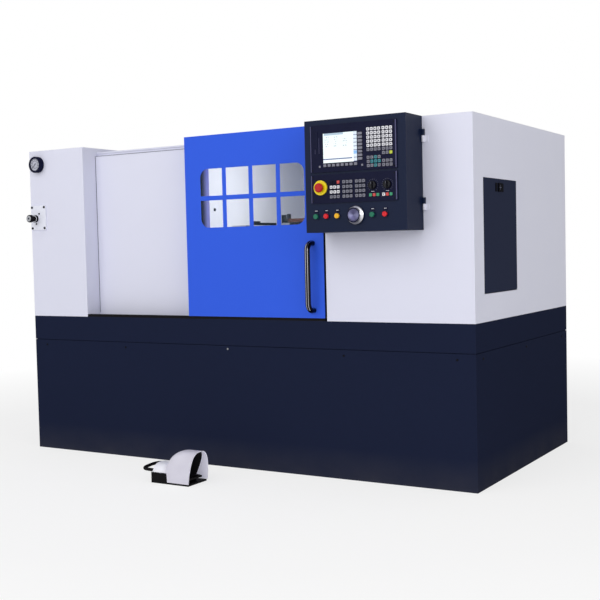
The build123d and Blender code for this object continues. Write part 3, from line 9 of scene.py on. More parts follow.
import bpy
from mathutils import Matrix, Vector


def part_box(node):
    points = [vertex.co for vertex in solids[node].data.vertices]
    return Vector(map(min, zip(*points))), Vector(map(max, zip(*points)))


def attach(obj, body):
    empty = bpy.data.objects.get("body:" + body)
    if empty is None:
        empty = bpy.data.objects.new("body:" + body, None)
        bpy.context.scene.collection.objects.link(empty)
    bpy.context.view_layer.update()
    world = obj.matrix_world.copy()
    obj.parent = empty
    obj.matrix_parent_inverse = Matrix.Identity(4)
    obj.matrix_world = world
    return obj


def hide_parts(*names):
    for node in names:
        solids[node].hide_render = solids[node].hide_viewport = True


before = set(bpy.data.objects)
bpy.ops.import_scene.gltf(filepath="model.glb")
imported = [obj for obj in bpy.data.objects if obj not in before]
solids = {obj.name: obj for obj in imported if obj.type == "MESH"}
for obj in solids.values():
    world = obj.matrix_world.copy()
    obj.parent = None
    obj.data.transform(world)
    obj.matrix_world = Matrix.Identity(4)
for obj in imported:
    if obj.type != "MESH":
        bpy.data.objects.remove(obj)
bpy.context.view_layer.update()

import math

import bmesh
import bpy
from mathutils import Matrix, Vector

MM = 0.001


# %% [markdown]
# ## Camera
# The photograph was taken from the right of the door at about chest height. The camera
# stands where a solved view of the cabinet's edges puts it, turned a little to the left
# and rolled by about one degree, with a short telephoto lens.

# %% Place the camera
def in_scene(name, data):
    """New object of some data, linked into the scene at the origin."""
    thing = bpy.data.objects.new(name, data)
    bpy.context.collection.objects.link(thing)
    return thing


def camera_at(place, turn_left, look_down, roll, lens):
    """Camera aimed by three angles in radians, with no constraint left on it."""
    ahead = Vector((-math.sin(turn_left) * math.cos(look_down),
                    math.cos(turn_left) * math.cos(look_down), -math.sin(look_down)))
    level = Vector((math.cos(turn_left), math.sin(turn_left), 0))
    above = level.cross(ahead)
    right = math.cos(roll) * level + math.sin(roll) * above
    top = -math.sin(roll) * level + math.cos(roll) * above
    eye = in_scene("camera", bpy.data.cameras.new("camera"))
    eye.data.lens = lens
    eye.data.sensor_width = 36
    eye.matrix_world = Matrix((right, top, -ahead)).transposed().to_4x4()
    eye.location = place
    return eye


camera = camera_at(place=(2.907, -4.7815, 1.065), turn_left=math.radians(31.044),
                   look_down=math.radians(2.935), roll=math.radians(-1.336), lens=62.75)
bpy.context.scene.camera = camera
bpy.context.scene.view_settings.view_transform = "Standard"
print("camera at", [round(c, 3) for c in camera.location])


# %% [markdown]
# ## Writing shaders as sums
# A material is a tree of nodes, and most of those nodes are sums. `Wire` holds one
# output of the tree, so that `dust * 0.5 + 0.2` adds the two Math nodes by itself.
# `Tree` adds a node together with what feeds it. `Finish` is the tree of a material
# with one Principled shader, and files that material under its name in `finishes`,
# where the later steps look it up. It takes the words of a socket's name joined by _.

# %% Wire, Tree and Finish
class Wire:
    """One output of a node tree, with which sums can be written."""

    def __init__(self, tree, socket):
        self.tree = tree
        self.socket = socket

    def maths(self, word, first, second=0.0, clamp=False):
        return Tree(self.tree).node("ShaderNodeMath", {0: first, 1: second},
                                    operation=word, use_clamp=clamp)

    def put(self, word, second=0.0):
        """Put this output through one Math node, as its first number."""
        return self.maths(word, self, second)

    def above(self, limit):
        return self.put("GREATER_THAN", limit)

    def below(self, limit):
        return self.put("LESS_THAN", limit)

    def between(self, low, high):
        return self.above(low) * self.below(high)

    def size(self):
        return self.put("ABSOLUTE")

    def repeated(self, step):
        return self.put("FLOORED_MODULO", step)

    def clamped(self):
        return self.maths("ADD", self, 0.0, clamp=True)


def with_sign(word, swapped):
    """Method for one sign, with the wire on its left or, swapped, on its right."""
    def method(self, other):
        return self.maths(word, other, self) if swapped else self.put(word, other)
    return method


for sign, word in (("add", "ADD"), ("sub", "SUBTRACT"), ("mul", "MULTIPLY"),
                   ("truediv", "DIVIDE")):
    setattr(Wire, f"__{sign}__", with_sign(word, False))
    setattr(Wire, f"__r{sign}__", with_sign(word, True))


class Tree:
    """A node tree, to which each node is added together with what feeds it."""

    def __init__(self, tree):
        self.tree = tree

    def node(self, kind, sockets={}, output=0, **settings):
        made = self.tree.nodes.new(kind)
        for word, value in settings.items():
            setattr(made, word, value)
        for slot, value in sockets.items():
            if isinstance(value, Wire):
                self.tree.links.new(value.socket, made.inputs[slot])
            else:
                made.inputs[slot].default_value = value
        return Wire(self.tree, made.outputs[output])


def tint(red, green, blue):
    """Linear colour of a paint chip read in 0 to 255 steps."""
    def linear(step):
        step = step / 255
        return step / 12.92 if step <= 0.04045 else ((step + 0.055) / 1.055) ** 2.4
    return (linear(red), linear(green), linear(blue), 1.0)


def scaled(colour, factor, lift=0.0):
    """The same colour darker or lighter, kept within 1."""
    return tuple(min(1, c * factor + lift) for c in colour[:3]) + (1,)


finishes = {}


class Finish(Tree):
    """A material round one Principled shader, with the values that stay fixed."""

    def __init__(self, name, colour, **fixed):
        finishes[name] = bpy.data.materials.new(name)
        finishes[name].use_nodes = True
        super().__init__(finishes[name].node_tree)
        self.skin = self.tree.nodes["Principled BSDF"]
        self.skin.inputs["Base Color"].default_value = colour
        for socket, value in fixed.items():
            self.skin.inputs[socket.replace("_", " ")].default_value = value
        self.spot = self.node("ShaderNodeTexCoord", output="Object")

    def part_of(self, vector, letter):
        return self.node("ShaderNodeSeparateXYZ", {0: vector}, letter)

    def axis(self, letter):
        return self.part_of(self.spot, letter)

    def stretched(self, x, y, z):
        return self.node("ShaderNodeVectorMath", {0: self.spot, 1: (x, y, z)},
                         operation="MULTIPLY")

    def noise(self, scale, detail=2.0, where=None):
        sockets = {"Vector": where or self.spot, "Scale": scale, "Detail": detail}
        return self.node("ShaderNodeTexNoise", sockets, "Fac")

    def mixed(self, share, first, second):
        return self.node("ShaderNodeMix", {0: share, 6: first, 7: second}, 2,
                         data_type="RGBA")

    def eased(self, radius):
        """Normal with its edges rounded, and how near the surface is to an edge."""
        soft = self.node("ShaderNodeBevel", {"Radius": radius}, samples=4)
        true = self.node("ShaderNodeNewGeometry", output="Normal")
        same = self.node("ShaderNodeVectorMath", {0: soft, 1: true}, "Value",
                         operation="DOT_PRODUCT")
        return soft, ((1 - same) * 4).clamped()

    def feed(self, **wires):
        """Lead wires into the shader."""
        for socket, wire in wires.items():
            self.tree.links.new(wire.socket, self.skin.inputs[socket.replace("_", " ")])

    def wear(self, colour, roughness, height, strength, depth, normal=None):
        """Feed what varies over most surfaces: colour, roughness and fine relief."""
        sockets = {"Height": height, "Strength": strength, "Distance": depth}
        if normal:
            sockets["Normal"] = normal
        self.feed(Base_Color=colour, Roughness=roughness,
                  Normal=self.node("ShaderNodeBump", sockets))


print("socket sums and finishes ready")


# %% [markdown]
# ## Painted sheet
# The covers are powder coated steel. Powder paint flows into a faint orange peel, and
# its gloss varies where hands and cloths have been. Folded edges are painted a little
# paler, partly as wear and partly as a painted highlight where they catch the light. The
# stand also gathers dust in its lowest hand's breadth. One function makes each paint, so
# that all the colours wear in the same way. The back wall is sunk sheet with joints, vent
# slots and screws, which are masks on the place.

# %% Paints
HALF_WALL, WALL_FACE = 1.28, 0.641
VENT_STEP, VENT_HIGH = 0.024, 0.007
SCREW_INSET, SCREW_RADIUS = 0.03, 0.006


def back_wall_marks(paint, pitch, low, high, vent_low, vent_high):
    """Mask of joints, vent slots and screws on the back wall, between two heights."""
    x, z = paint.axis("X") + HALF_WALL, paint.axis("Z")
    joints = x.repeated(pitch).below(0.0025) + (z - low).size().below(0.0012)
    slots = z.repeated(VENT_STEP).below(VENT_HIGH) * z.between(vent_low, vent_high)
    slots = slots * x.repeated(pitch).between(pitch * 0.2, pitch * 0.8)
    slots = slots * x.repeated(2 * pitch).above(pitch)
    from_x = (x.repeated(pitch) - pitch / 2).size() - (pitch / 2 - SCREW_INSET)
    from_z = (z - (low + high) / 2).size() - ((high - low) / 2 - SCREW_INSET)
    heads = (from_x * from_x + from_z * from_z).below(SCREW_RADIUS ** 2)
    on_wall = paint.axis("Y").above(WALL_FACE)
    return (joints + slots + heads).clamped() * on_wall * z.between(low, high)


def powder_paint(name, colour, roughness, edge_colour, shine=0.4, coat=0.0, dust=0.0,
                 drift=0.10, back=None):
    """Paint that drifts in tone, is paler at its edges as wear and painted highlight,
    and may be dusty near the floor.
    """
    paint = Finish(name, colour, Specular_IOR_Level=shine, Coat_Weight=coat,
                   Coat_Roughness=0.35)
    soft, edge = paint.eased(2.0 * MM)
    broad, smudge, fine = (paint.noise(scale, detail) for scale, detail in
                           ((1.3, 3.0), (7.0, 5.0), (60.0, 2.0)))
    shade = paint.mixed((broad - 0.5) * drift + (smudge - 0.5) * drift * 0.6 + 0.5,
                        scaled(colour, 0.90), scaled(colour, 1.10))
    # Edges go towards edge_colour: partly wear, partly a painted highlight where folds catch
    # the light.
    painted_highlights = paint.mixed(edge * (fine * 0.6 + 0.1), shade, edge_colour)
    if dust:
        low = (1 - paint.axis("Z") * 7.0).clamped() * (smudge * 1.3).clamped() * dust
        painted_highlights = paint.mixed(low, painted_highlights, tint(128, 122, 112))
    peel = paint.noise(420.0, 1.0)
    if back:
        marks = back_wall_marks(paint, *back)
        painted_highlights = paint.mixed(marks * 0.8, painted_highlights, tint(24, 25, 36))
        peel = peel - marks * 4.0
    paint.wear(painted_highlights, (smudge - 0.5) * 0.22 + (fine - 0.5) * 0.06 + roughness,
               peel, 0.12, 0.25 * MM, soft)


powder_paint("white_powder_paint", tint(224, 225, 241), 0.42, tint(240, 240, 248),
             back=(0.64, 0.76, 1.59, 1.12, 1.42))
powder_paint("inner_white_paint", tint(223, 225, 224), 0.40, tint(236, 242, 246))
powder_paint("navy_powder_paint", tint(30, 36, 58), 0.50, tint(56, 62, 88), shine=0.0,
             coat=0.02, dust=0.12, drift=0.2, back=(0.853, 0.10, 0.62, 0.30, 0.46))
powder_paint("blue_powder_paint", tint(50, 94, 225), 0.44, tint(98, 134, 240),
             shine=0.12, drift=0.06)
powder_paint("box_powder_paint", tint(10, 23, 51), 0.42, tint(80, 88, 122),
             shine=0.07, coat=0.11, drift=0.2)
powder_paint("hatch_powder_paint", tint(39, 45, 67), 0.46, tint(70, 74, 96),
             shine=0.0, coat=0.05, drift=0.2)
powder_paint("plate_white_paint", tint(234, 236, 252), 0.4, tint(244, 244, 252))
powder_paint("turret_brown_paint", tint(84, 42, 22), 0.5, tint(130, 84, 60), shine=0.1)
print("paints made:", len(finishes))


# %% [markdown]
# ## Bare metal, rubber and plastic
# Turned parts show fine rings, ground parts show straight lines, and castings are
# rough and mottled. Plastic and rubber are mostly matt with a fine grain. Each finish
# gets its colour, roughness and height from the same few noises.

# %% Metals and plastics
def brushed(name, colour, roughness, stretch):
    """Metal with fine lines along the axis that is stretched least."""
    metal = Finish(name, colour, Metallic=1.0)
    streak = metal.noise(90.0, 3.0, metal.stretched(*stretch))
    patch = metal.noise(11.0, 4.0)
    metal.wear(metal.mixed(patch, scaled(colour, 0.82), colour),
               streak * 0.16 + (patch - 0.5) * 0.14 + roughness,
               streak, 0.10, 0.15 * MM, metal.eased(0.8 * MM)[0])


def moulded(name, colour, roughness, grain=700.0, depth=0.12, coat=0.0, shine=0.5):
    """Plastic, rubber or blackened steel, with edges rubbed a little paler."""
    plastic = Finish(name, colour, Coat_Weight=coat, Coat_Roughness=0.15,
                     Specular_IOR_Level=shine)
    soft, edge = plastic.eased(0.8 * MM)
    patch = plastic.noise(24.0, 4.0)
    shade = plastic.mixed(patch, scaled(colour, 0.86), scaled(colour, 1.10, 0.002))
    plastic.wear(plastic.mixed(edge * 0.14, shade, tint(132, 134, 150)),
                 (patch - 0.5) * 0.24 + roughness,
                 plastic.noise(grain, 2.0), 0.2, depth * MM, soft)


def cast(name, colour):
    """Painted casting with lumps and pits, rubbed to the metal at its edges."""
    iron = Finish(name, colour, Metallic=0.0)
    soft, edge = iron.eased(3.0 * MM)
    lumps, pits = iron.noise(34.0, 6.0), iron.noise(220.0, 3.0)
    iron.wear(iron.mixed(lumps, scaled(colour, 0.72), colour), lumps * 0.25 + 0.45,
              lumps + pits * 0.5, 0.35, 0.8 * MM, soft)
    iron.feed(Metallic=(edge * 0.5).clamped())


brushed("ground_steel", tint(176, 178, 182), 0.26, (1.0, 14.0, 14.0))
brushed("turned_steel", tint(168, 170, 175), 0.22, (18.0, 1.0, 1.0))
brushed("zinc_screw", tint(150, 150, 154), 0.34, (4.0, 4.0, 4.0))
# name, paint chip, roughness, then grain, depth, coat and shine where they matter
for name, chip, *rest in (
        ("black_oxide", (18, 17, 20), 0.42, 500.0, 0.08, 0.12, 0.0),
        ("tool_black", (4, 6, 13), 0.6, 500.0, 0.08, 0.0, 0.0),
        ("blackened_screw", (16, 16, 20), 0.4, 500.0, 0.05, 0.1, 0.0),
        ("seal_rubber", (12, 12, 17), 0.68, 500.0, 0.25, 0.03, 0.0),
        ("black_plastic", (18, 21, 48), 0.42, 700.0, 0.12, 0.08, 0.0),
        ("knob_plastic", (12, 13, 21), 0.46, 900.0, 0.1, 0.25, 0.0),
        ("key_mat_rubber", (20, 22, 40), 0.6, 700.0, 0.12, 0.04, 0.0),
        ("white_key", (228, 228, 234), 0.45),
        ("grey_key", (116, 116, 130), 0.5),
        ("teal_key", (36, 128, 138), 0.5),
        ("lime_key", (188, 200, 58), 0.5),
        ("red_key", (196, 62, 60), 0.5),
        ("green_key", (40, 140, 100), 0.5),
        ("legend_ink", (44, 46, 60), 0.55),
        ("yellow_plastic", (240, 216, 26), 0.36, 900.0, 0.05, 0.1, 0.2),
        ("red_plastic", (176, 0, 12), 0.32, 900.0, 0.05, 0.25, 0.1),
        ("red_lens", (210, 8, 26), 0.26, 900.0, 0.05, 0.25, 0.1),
        ("green_lens", (0, 104, 78), 0.26, 900.0, 0.05, 0.25, 0.1),
        ("amber_lens", (240, 180, 24), 0.26, 900.0, 0.05, 0.25, 0.1),
        ("gauge_silver", (182, 184, 198), 0.4, 900.0, 0.05),
        ("dim_mark", (104, 106, 124), 0.5),
        ("lamp_lens", (226, 230, 232), 0.5),
        ("scale_white", (206, 208, 218), 0.5),
        ("edge_strip", (78, 78, 112), 0.4, 700.0, 0.12, 0.1, 0.1)):
    moulded(name, tint(*chip), *rest)
cast("cast_iron", tint(96, 100, 104))
cast("motor_casting", tint(50, 52, 58))
cast("headstock_casting", tint(136, 142, 148))
print("finishes so far:", len(finishes))


# %% [markdown]
# ## Finishes that carry a picture
# The screen shows a generic machine page: a pale field with thin table marks, a dark
# bar at its foot and a column of cells at its right. All of it is worked out from the
# place on the glass, so no picture file is needed. The hinges are black above and
# white below, because a black pin stands in a painted knuckle. The panes are clear,
# with a few smears and specks.

# %% Screen, hinge and window finishes
screen_low, screen_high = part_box("screen")
BOX_FOOT, HINGE_RISES = 1123, (85, 376)


def screen_finish():
    """Generic page, laid out in shares of the glass from its lower left corner."""
    glass = Finish("screen_picture", tint(232, 242, 246), Roughness=0.16,
                   Emission_Strength=0.55, Coat_Weight=0.6, Coat_Roughness=0.05)
    across = (glass.axis("X") - screen_low.x) / (screen_high.x - screen_low.x)
    up = (glass.axis("Z") - screen_low.z) / (screen_high.z - screen_low.z)
    cells = across.above(0.90)
    words = glass.noise(210.0, 0.0, glass.stretched(1.0, 0.0, 0.35)).above(0.56)
    rows = up.repeated(0.075).between(0.02, 0.05) * up.between(0.5, 0.9)
    columns = across.repeated(0.27).between(0.05, 0.17) * across.below(0.86)
    page = glass.mixed((up * 0.5).clamped(), tint(238, 250, 250), tint(214, 236, 240))
    for mask, chip in ((cells, (206, 220, 232)),
                       (cells * up.repeated(0.125).below(0.022), (70, 72, 130)),
                       (cells * up.between(0.25, 0.36), (110, 168, 226)),
                       (up.between(0.105, 0.145) * across.below(0.86), (44, 62, 130)),
                       (up.above(0.93) * across.between(0.03, 0.6), (150, 176, 196)),
                       (words * rows * columns * 0.7, (84, 96, 120))):
        page = glass.mixed(mask, page, tint(*chip))
    glass.feed(Base_Color=glass.mixed(0.5, page, tint(60, 66, 76)), Emission_Color=page,
               Roughness=glass.noise(30.0, 4.0) * 0.12 + 0.08)


def hinge_finish():
    """Black pins over white knuckles, one of each at both hinges."""
    hinge = Finish("two_tone_hinge", tint(24, 25, 32))
    lower = 0
    for rise in HINGE_RISES:
        start = (BOX_FOOT + rise) * MM
        lower = lower + hinge.axis("Z").between(start - 1 * MM, start + 27 * MM)
    patch = hinge.noise(50.0, 3.0)
    pin = hinge.mixed(patch, tint(18, 19, 26), tint(34, 35, 44))
    hinge.wear(hinge.mixed(lower, pin, tint(226, 226, 240)), patch * 0.2 + 0.3,
               patch, 0.1, 0.2 * MM)


def glazing_finish():
    """Clear pane whose smears and specks are all that is seen of it."""
    pane = Finish("clear_polycarbonate", tint(146, 172, 186), IOR=1.5,
                  Coat_Weight=0.2, Coat_Roughness=0.04)
    finishes["clear_polycarbonate"].surface_render_method = "BLENDED"
    smear = pane.noise(9.0, 5.0, pane.stretched(1.0, 1.0, 0.4))
    speck = pane.noise(320.0, 2.0).above(0.71)
    pane.feed(Alpha=((smear - 0.4) * 0.12 + speck * 0.10 + 0.035).clamped(),
              Roughness=smear * 0.14 + 0.02)


screen_finish()
hinge_finish()
glazing_finish()
print("picture finishes made: 3")


# %% [markdown]
# ## Finishes that follow one part's shape
# The pull handle is black nickel with two bright lines painted along it as painted highlights.
# The handwheel and its dial are faced on a lathe, and a painted reflection gathers their
# shine in a bow tie about the middle. The hatch latch has a pale cross in its head. The
# foot guard has painted shadow, black, inside its closed end; its bare inside is painted
# lighter and glows a little, and its lid is painted lighter, both as painted light. The
# fixed panel's folded edge is dark where the door shades it. Each mask is a sum on the place.

# %% Handle, wheel, latch, guard and lip finishes
WHEEL, LATCH = (806.0, 1193.0), (-337.4, 1305.0)
LATCH_FACE = 1.2795
PEDAL_Y, PEDAL_Z = 1.004, 0.05
LIP_SHADE, LIP_TOP = 0.190, 1.505


def handle_finish(middle, radius):
    """Black nickel with two painted highlight lines at fixed shares of the tube's width."""
    nickel = Finish("black_nickel", tint(34, 32, 36), Metallic=1.0)
    across = (nickel.axis("X") - middle) / radius
    fade = nickel.noise(30.0, 3.0, nickel.stretched(1.0, 1.0, 0.15))
    # Two bright lines: painted highlights that stand in for reflections along the tube.
    painted_highlights = across.between(-0.26, -0.10) + across.between(0.48, 0.64) * 0.8
    painted_highlights = painted_highlights * (fade * 1.1 + 0.2).clamped()
    nickel.wear(nickel.mixed(painted_highlights, tint(34, 32, 36), tint(226, 226, 232)),
                fade * 0.10 + 0.10, nickel.noise(140.0, 2.0), 0.04, 0.1 * MM)


def faced_with_painted_reflection(name, dark, bright, roughness):
    """Metal faced on a lathe about the handwheel's middle, with a painted reflection in a bow
    tie.
    """
    metal = Finish(name, bright, Metallic=1.0)
    across, up = metal.axis("X") - WHEEL[0] * MM, metal.axis("Z") - WHEEL[1] * MM
    reach = across * across + up * up + 0.000001
    # Painted reflection: bright to the left and right of the middle, dark above and below.
    painted_reflection = across * across / reach
    rings = metal.node("ShaderNodeCombineXYZ", {0: reach.put("SQRT") * 2600})
    groove = metal.noise(1.0, 2.0, rings)
    metal.wear(metal.mixed((painted_reflection * painted_reflection * 0.8 + groove * 0.25).clamped(), dark, bright),
               groove * 0.12 + roughness, groove, 0.1, 0.1 * MM,
               metal.eased(0.8 * MM)[0])


def latch_finish():
    """Black latch with a pale cross pressed into its head."""
    black = tint(14, 15, 22)
    head = Finish("latch_black", black, Specular_IOR_Level=0.0, Coat_Weight=0.04)
    across = (head.axis("Y") - LATCH[0] * MM).size()
    up = (head.axis("Z") - LATCH[1] * MM).size()
    upright = across.below(1.3 * MM) * up.below(11 * MM)
    arms = upright + up.below(1.1 * MM) * across.below(13 * MM)
    grain = head.noise(260.0, 2.0)
    cross = (arms * head.axis("X").above(LATCH_FACE)).clamped()
    head.wear(head.mixed(cross * (grain + 0.4), black, tint(104, 106, 126)),
              grain * 0.2 + 0.4, cross + grain * 0.1, 0.3, 0.4 * MM)


def guard_finish():
    """White guard with painted light: its inside painted lighter and glowing a little, its lid
    painted lighter, and painted shadow, black, in its closed end.
    """
    hood = Finish("guard_paint", tint(216, 212, 226), Specular_IOR_Level=0.4,
                  Emission_Strength=0.3)
    normal = hood.node("ShaderNodeNewGeometry", output="Normal")
    inward = ((hood.axis("Y") + PEDAL_Y) * hood.part_of(normal, "Y")
              + (hood.axis("Z") - PEDAL_Z) * hood.part_of(normal, "Z")).below(0.0)
    deep = (hood.axis("X") - hood.axis("Z") * 0.5).below(-0.004)
    # Painted shadow: inside faces at the closed end are painted black.
    painted_shadow = inward * deep
    patch = hood.noise(14.0, 4.0)
    white = hood.mixed(patch, tint(208, 205, 218), tint(224, 222, 234))
    # Inside faces are painted lighter, as painted light.
    white = hood.mixed(inward, white, tint(246, 245, 254))
    # The lid is painted lighter, as painted light on its top.
    painted_lid_light = (1 - (hood.axis("X") + 0.09) * 30).clamped()
    white = hood.mixed(painted_lid_light, white, tint(244, 244, 252))
    # Emission on the bare inside: a painted glow, though no lamp is there.
    glow = hood.mixed(inward * (1 - deep), (0, 0, 0, 1), tint(206, 205, 227))
    hood.wear(hood.mixed(painted_shadow, white, tint(12, 12, 18)),
              (patch - 0.5) * 0.2 + painted_shadow * 0.35 + 0.45,
              hood.noise(600.0, 2.0), 0.12, 0.15 * MM, hood.eased(1.5 * MM)[0])
    hood.feed(Emission_Color=glow)


def lip_finish():
    """Folded edge of the fixed panel, dark where the door's frame shades it."""
    dark, light = tint(44, 46, 78), tint(218, 212, 236)
    lip = Finish("lip_paint", light, Specular_IOR_Level=0.2)
    lit = ((lip.axis("X") + LIP_SHADE) * 42.0).clamped()
    lit = lit * ((LIP_TOP - lip.axis("Z")) * 30.0).clamped()
    patch = lip.noise(18.0, 4.0)
    pale = lip.mixed(patch * 0.3, light, tint(200, 194, 222))
    lip.wear(lip.mixed(lit, dark, pale), patch * 0.2 + 0.36,
             lip.noise(420.0, 1.0), 0.12, 0.25 * MM)


handle_low, handle_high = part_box("door_handle")
handle_finish((handle_low.x + handle_high.x) / 2, (handle_high.x - handle_low.x) / 2)
faced_with_painted_reflection("faced_chrome", tint(56, 56, 76), tint(244, 244, 248), 0.10)
faced_with_painted_reflection("faced_dial", tint(72, 70, 102), tint(116, 116, 148), 0.30)
latch_finish()
guard_finish()
lip_finish()
print("finishes in all:", len(finishes))


# %% [markdown]
# ## Give every solid its finish
# A solid keeps its shape and only gets a better material in its slots. The list goes
# from finish to solids, as a paint shop's sheet would.

# %% Dress the solids
paint_sheet = {
    "navy_powder_paint": "base_stand chip_pan",
    "white_powder_paint": "tower_cover recess_panel roof_cover right_cabinet "
                          "electrical_plate upper_track",
    "inner_white_paint": "chamber_wall",
    "plate_white_paint": "valve_plate",
    "blue_powder_paint": "door_panel",
    "box_powder_paint": "operator_box",
    "hatch_powder_paint": "side_hatch",
    "black_plastic": "control_unit machine_panel pressure_gauge",
    "latch_black": "hatch_latch",
    "black_oxide": "pedal_base pedal_treadle pedal_bail valve_knob lower_track",
    "tool_black": "tool_holders",
    "seal_rubber": "door_seal",
    "clear_polycarbonate": "door_glazing",
    "black_nickel": "door_handle",
    "faced_chrome": "handwheel",
    "ground_steel": "door_hangers saddle cross_slide feed_screw jaw_1 jaw_2 jaw_3",
    "turned_steel": "spindle chuck chuck_cylinder turret_disc",
    "two_tone_hinge": "box_hinges",
    "screen_picture": "screen",
    "key_mat_rubber": "control_keys panel_keys",
    "yellow_plastic": "estop_collar",
    "red_plastic": "estop_button",
    "legend_ink": "gauge_needle",
    "knob_plastic": "feed_override_knob rapid_override_knob",
    "green_lens": "green_button_left green_button_right",
    "red_lens": "red_button_left red_button_right",
    "amber_lens": "yellow_button",
    "cast_iron": "bed_casting",
    "headstock_casting": "headstock",
    "motor_casting": "spindle_stator feed_servo cross_servo",
    "turret_brown_paint": "turret_head",
    "guard_paint": "pedal_guard",
}
left_out = set(solids)
for finish, names in paint_sheet.items():
    for name in names.split():
        left_out.discard(name)
        for slot in solids[name].material_slots:
            slot.material = finishes[finish]
print("solids dressed:", len(solids) - len(left_out), "left:", sorted(left_out))


# %% [markdown]
# ## Making small parts from meshes
# A mesh is only a list of corners and faces. `plates` makes blocks with bevelled
# edges, and `turned` spins an outline round an axis as a lathe would. Both put the
# place in the mesh and leave the object at the origin, as the solids have it.

# %% Mesh helpers
FRONT_WAY, BACK_WAY, RIGHT_WAY, LEFT_WAY = (0, -1, 0), (0, 1, 0), (1, 0, 0), (-1, 0, 0)


def settle(name, mesh, finish, body, slot, smooth=True):
    """Object from a mesh, riding on one body of the machine."""
    thing = in_scene(name, mesh)
    if finish:
        mesh.materials.clear()
        mesh.materials.append(finishes[finish])
    if smooth:
        mesh.shade_smooth()
        mesh.set_sharp_from_angle(angle=math.radians(35))
    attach(thing, body)
    return thing


def plates(name, blocks, finish, body, slot, edge=0.5):
    """One piece of several blocks, each given by its low and high corner in mm."""
    shape = bmesh.new()
    for low, high in blocks:
        made = bmesh.ops.create_cube(shape, size=1.0)["verts"]
        middle = [(a + b) / 2 * MM for a, b in zip(low, high)]
        for corner in made:
            corner.co = Vector([m + c * (b - a) * MM for m, c, a, b in
                                zip(middle, corner.co, low, high)])
        if edge:
            edges = {e for v in made for e in v.link_edges}
            bmesh.ops.bevel(shape, geom=list(edges), offset=edge * MM, segments=2,
                            profile=0.5, affect="EDGES")
    bmesh.ops.recalc_face_normals(shape, faces=shape.faces[:])
    mesh = bpy.data.meshes.new(name)
    shape.to_mesh(mesh)
    shape.free()
    settle(name, mesh, finish, body, slot, smooth=False)


def ring_mesh(name, rings, joined=False):
    """Mesh through rings of corners, capped at both ends or joined into a ring.

    Every ring turns to the left, seen from the side to which the last one faces.
    """
    parts = len(rings[0])
    ids = [range(row * parts, (row + 1) * parts) for row in range(len(rings))]
    pairs = list(zip(ids, ids[1:])) + ([(ids[-1], ids[0])] if joined else [])
    faces = [(low[k], low[(k + 1) % parts], high[(k + 1) % parts], high[k])
             for low, high in pairs for k in range(parts)]
    if not joined:
        faces += [tuple(reversed(ids[0])), tuple(ids[-1])]
    mesh = bpy.data.meshes.new(name)
    mesh.from_pydata([corner for ring in rings for corner in ring], [], faces)
    return mesh


def round_turns(count, first=0.0):
    """Cosine and sine of evenly spaced turns, of which the first is in degrees."""
    angles = [math.radians(first) + 2 * math.pi * k / count for k in range(count)]
    return [(math.cos(a), math.sin(a)) for a in angles]


def turned(name, outline, centre, finish, body, slot, parts=64):
    """Outline of (radius, height) pairs in mm, spun round an axis to the front.

    An outline that starts off the axis is a ring, so its end joins its start.
    """
    along = Vector(FRONT_WAY)
    side = along.orthogonal().normalized()
    other = along.cross(side)
    rings = [[Vector(centre) * MM + along * height * MM + (side * c + other * s) * radius * MM
              for c, s in round_turns(parts)] for radius, height in outline]
    settle(name, ring_mesh(name, rings, outline[0][0] > 1), finish, body, slot)


print("mesh helpers ready")


# %% [markdown]
# ## Repeating small parts with Geometry Nodes
# Screws, keys and scale marks repeat many times. A Geometry Nodes tree puts one small
# mesh on each point of a list, turned as wanted, then makes it real and gives it its
# material. The result is read back as a plain mesh for each list, which rides on one
# body. `Recipe` holds what all the trees here have in common: named inputs and the same
# last two steps.

# %% The tree that repeats a part
class Recipe(Tree):
    """Geometry Nodes group that ends by painting what it made."""

    def __init__(self, name, output, **inputs):
        super().__init__(bpy.data.node_groups.new(name, "GeometryNodeTree"))
        face = self.tree.interface
        for kind, words in inputs.items():
            for word in words:
                face.new_socket(word, in_out="INPUT", socket_type="NodeSocket" + kind)
        face.new_socket(output, in_out="OUTPUT", socket_type="NodeSocketGeometry")
        start = self.tree.nodes.new("NodeGroupInput")
        self.given = {socket.name: Wire(self.tree, socket) for socket in start.outputs}

    def painted(self, made):
        """Make the result real, give it the finish and hand it over."""
        real = self.node("GeometryNodeRealizeInstances", {"Geometry": made})
        paint = self.node("GeometryNodeSetMaterial",
                          {"Geometry": real, "Material": self.given["Finish"]})
        end = self.tree.nodes.new("NodeGroupOutput")
        self.tree.links.new(paint.socket, end.inputs[0])
        return self.tree


def repeat_tree():
    """Node group: one part on every point, turned to the facing stored on the point."""
    recipe = Recipe("repeat_part", "Parts", Geometry=["Points"], Object=["Part"],
                    Float=["Size", "Turn Jitter"], Int=["Seed"], Material=["Finish"])
    node, given = recipe.node, recipe.given
    part = node("GeometryNodeObjectInfo", {"Object": given["Part"]}, "Geometry")
    stored = node("GeometryNodeInputNamedAttribute", {"Name": "facing"}, "Attribute",
                  data_type="FLOAT_VECTOR")
    aim = node("FunctionNodeAlignEulerToVector", {"Vector": stored}, "Rotation", axis="Z")
    placed = node("GeometryNodeInstanceOnPoints", {
        "Points": given["Points"], "Instance": part, "Scale": given["Size"],
        "Rotation": aim})
    jitter = given["Turn Jitter"]
    chance = node("FunctionNodeRandomValue", {2: jitter * -1.0, 3: jitter,
                                              "Seed": given["Seed"]}, 1, data_type="FLOAT")
    turn = node("ShaderNodeCombineXYZ", {"Z": chance})
    return recipe.painted(node("GeometryNodeRotateInstances",
                               {"Instances": placed, "Rotation": turn}))


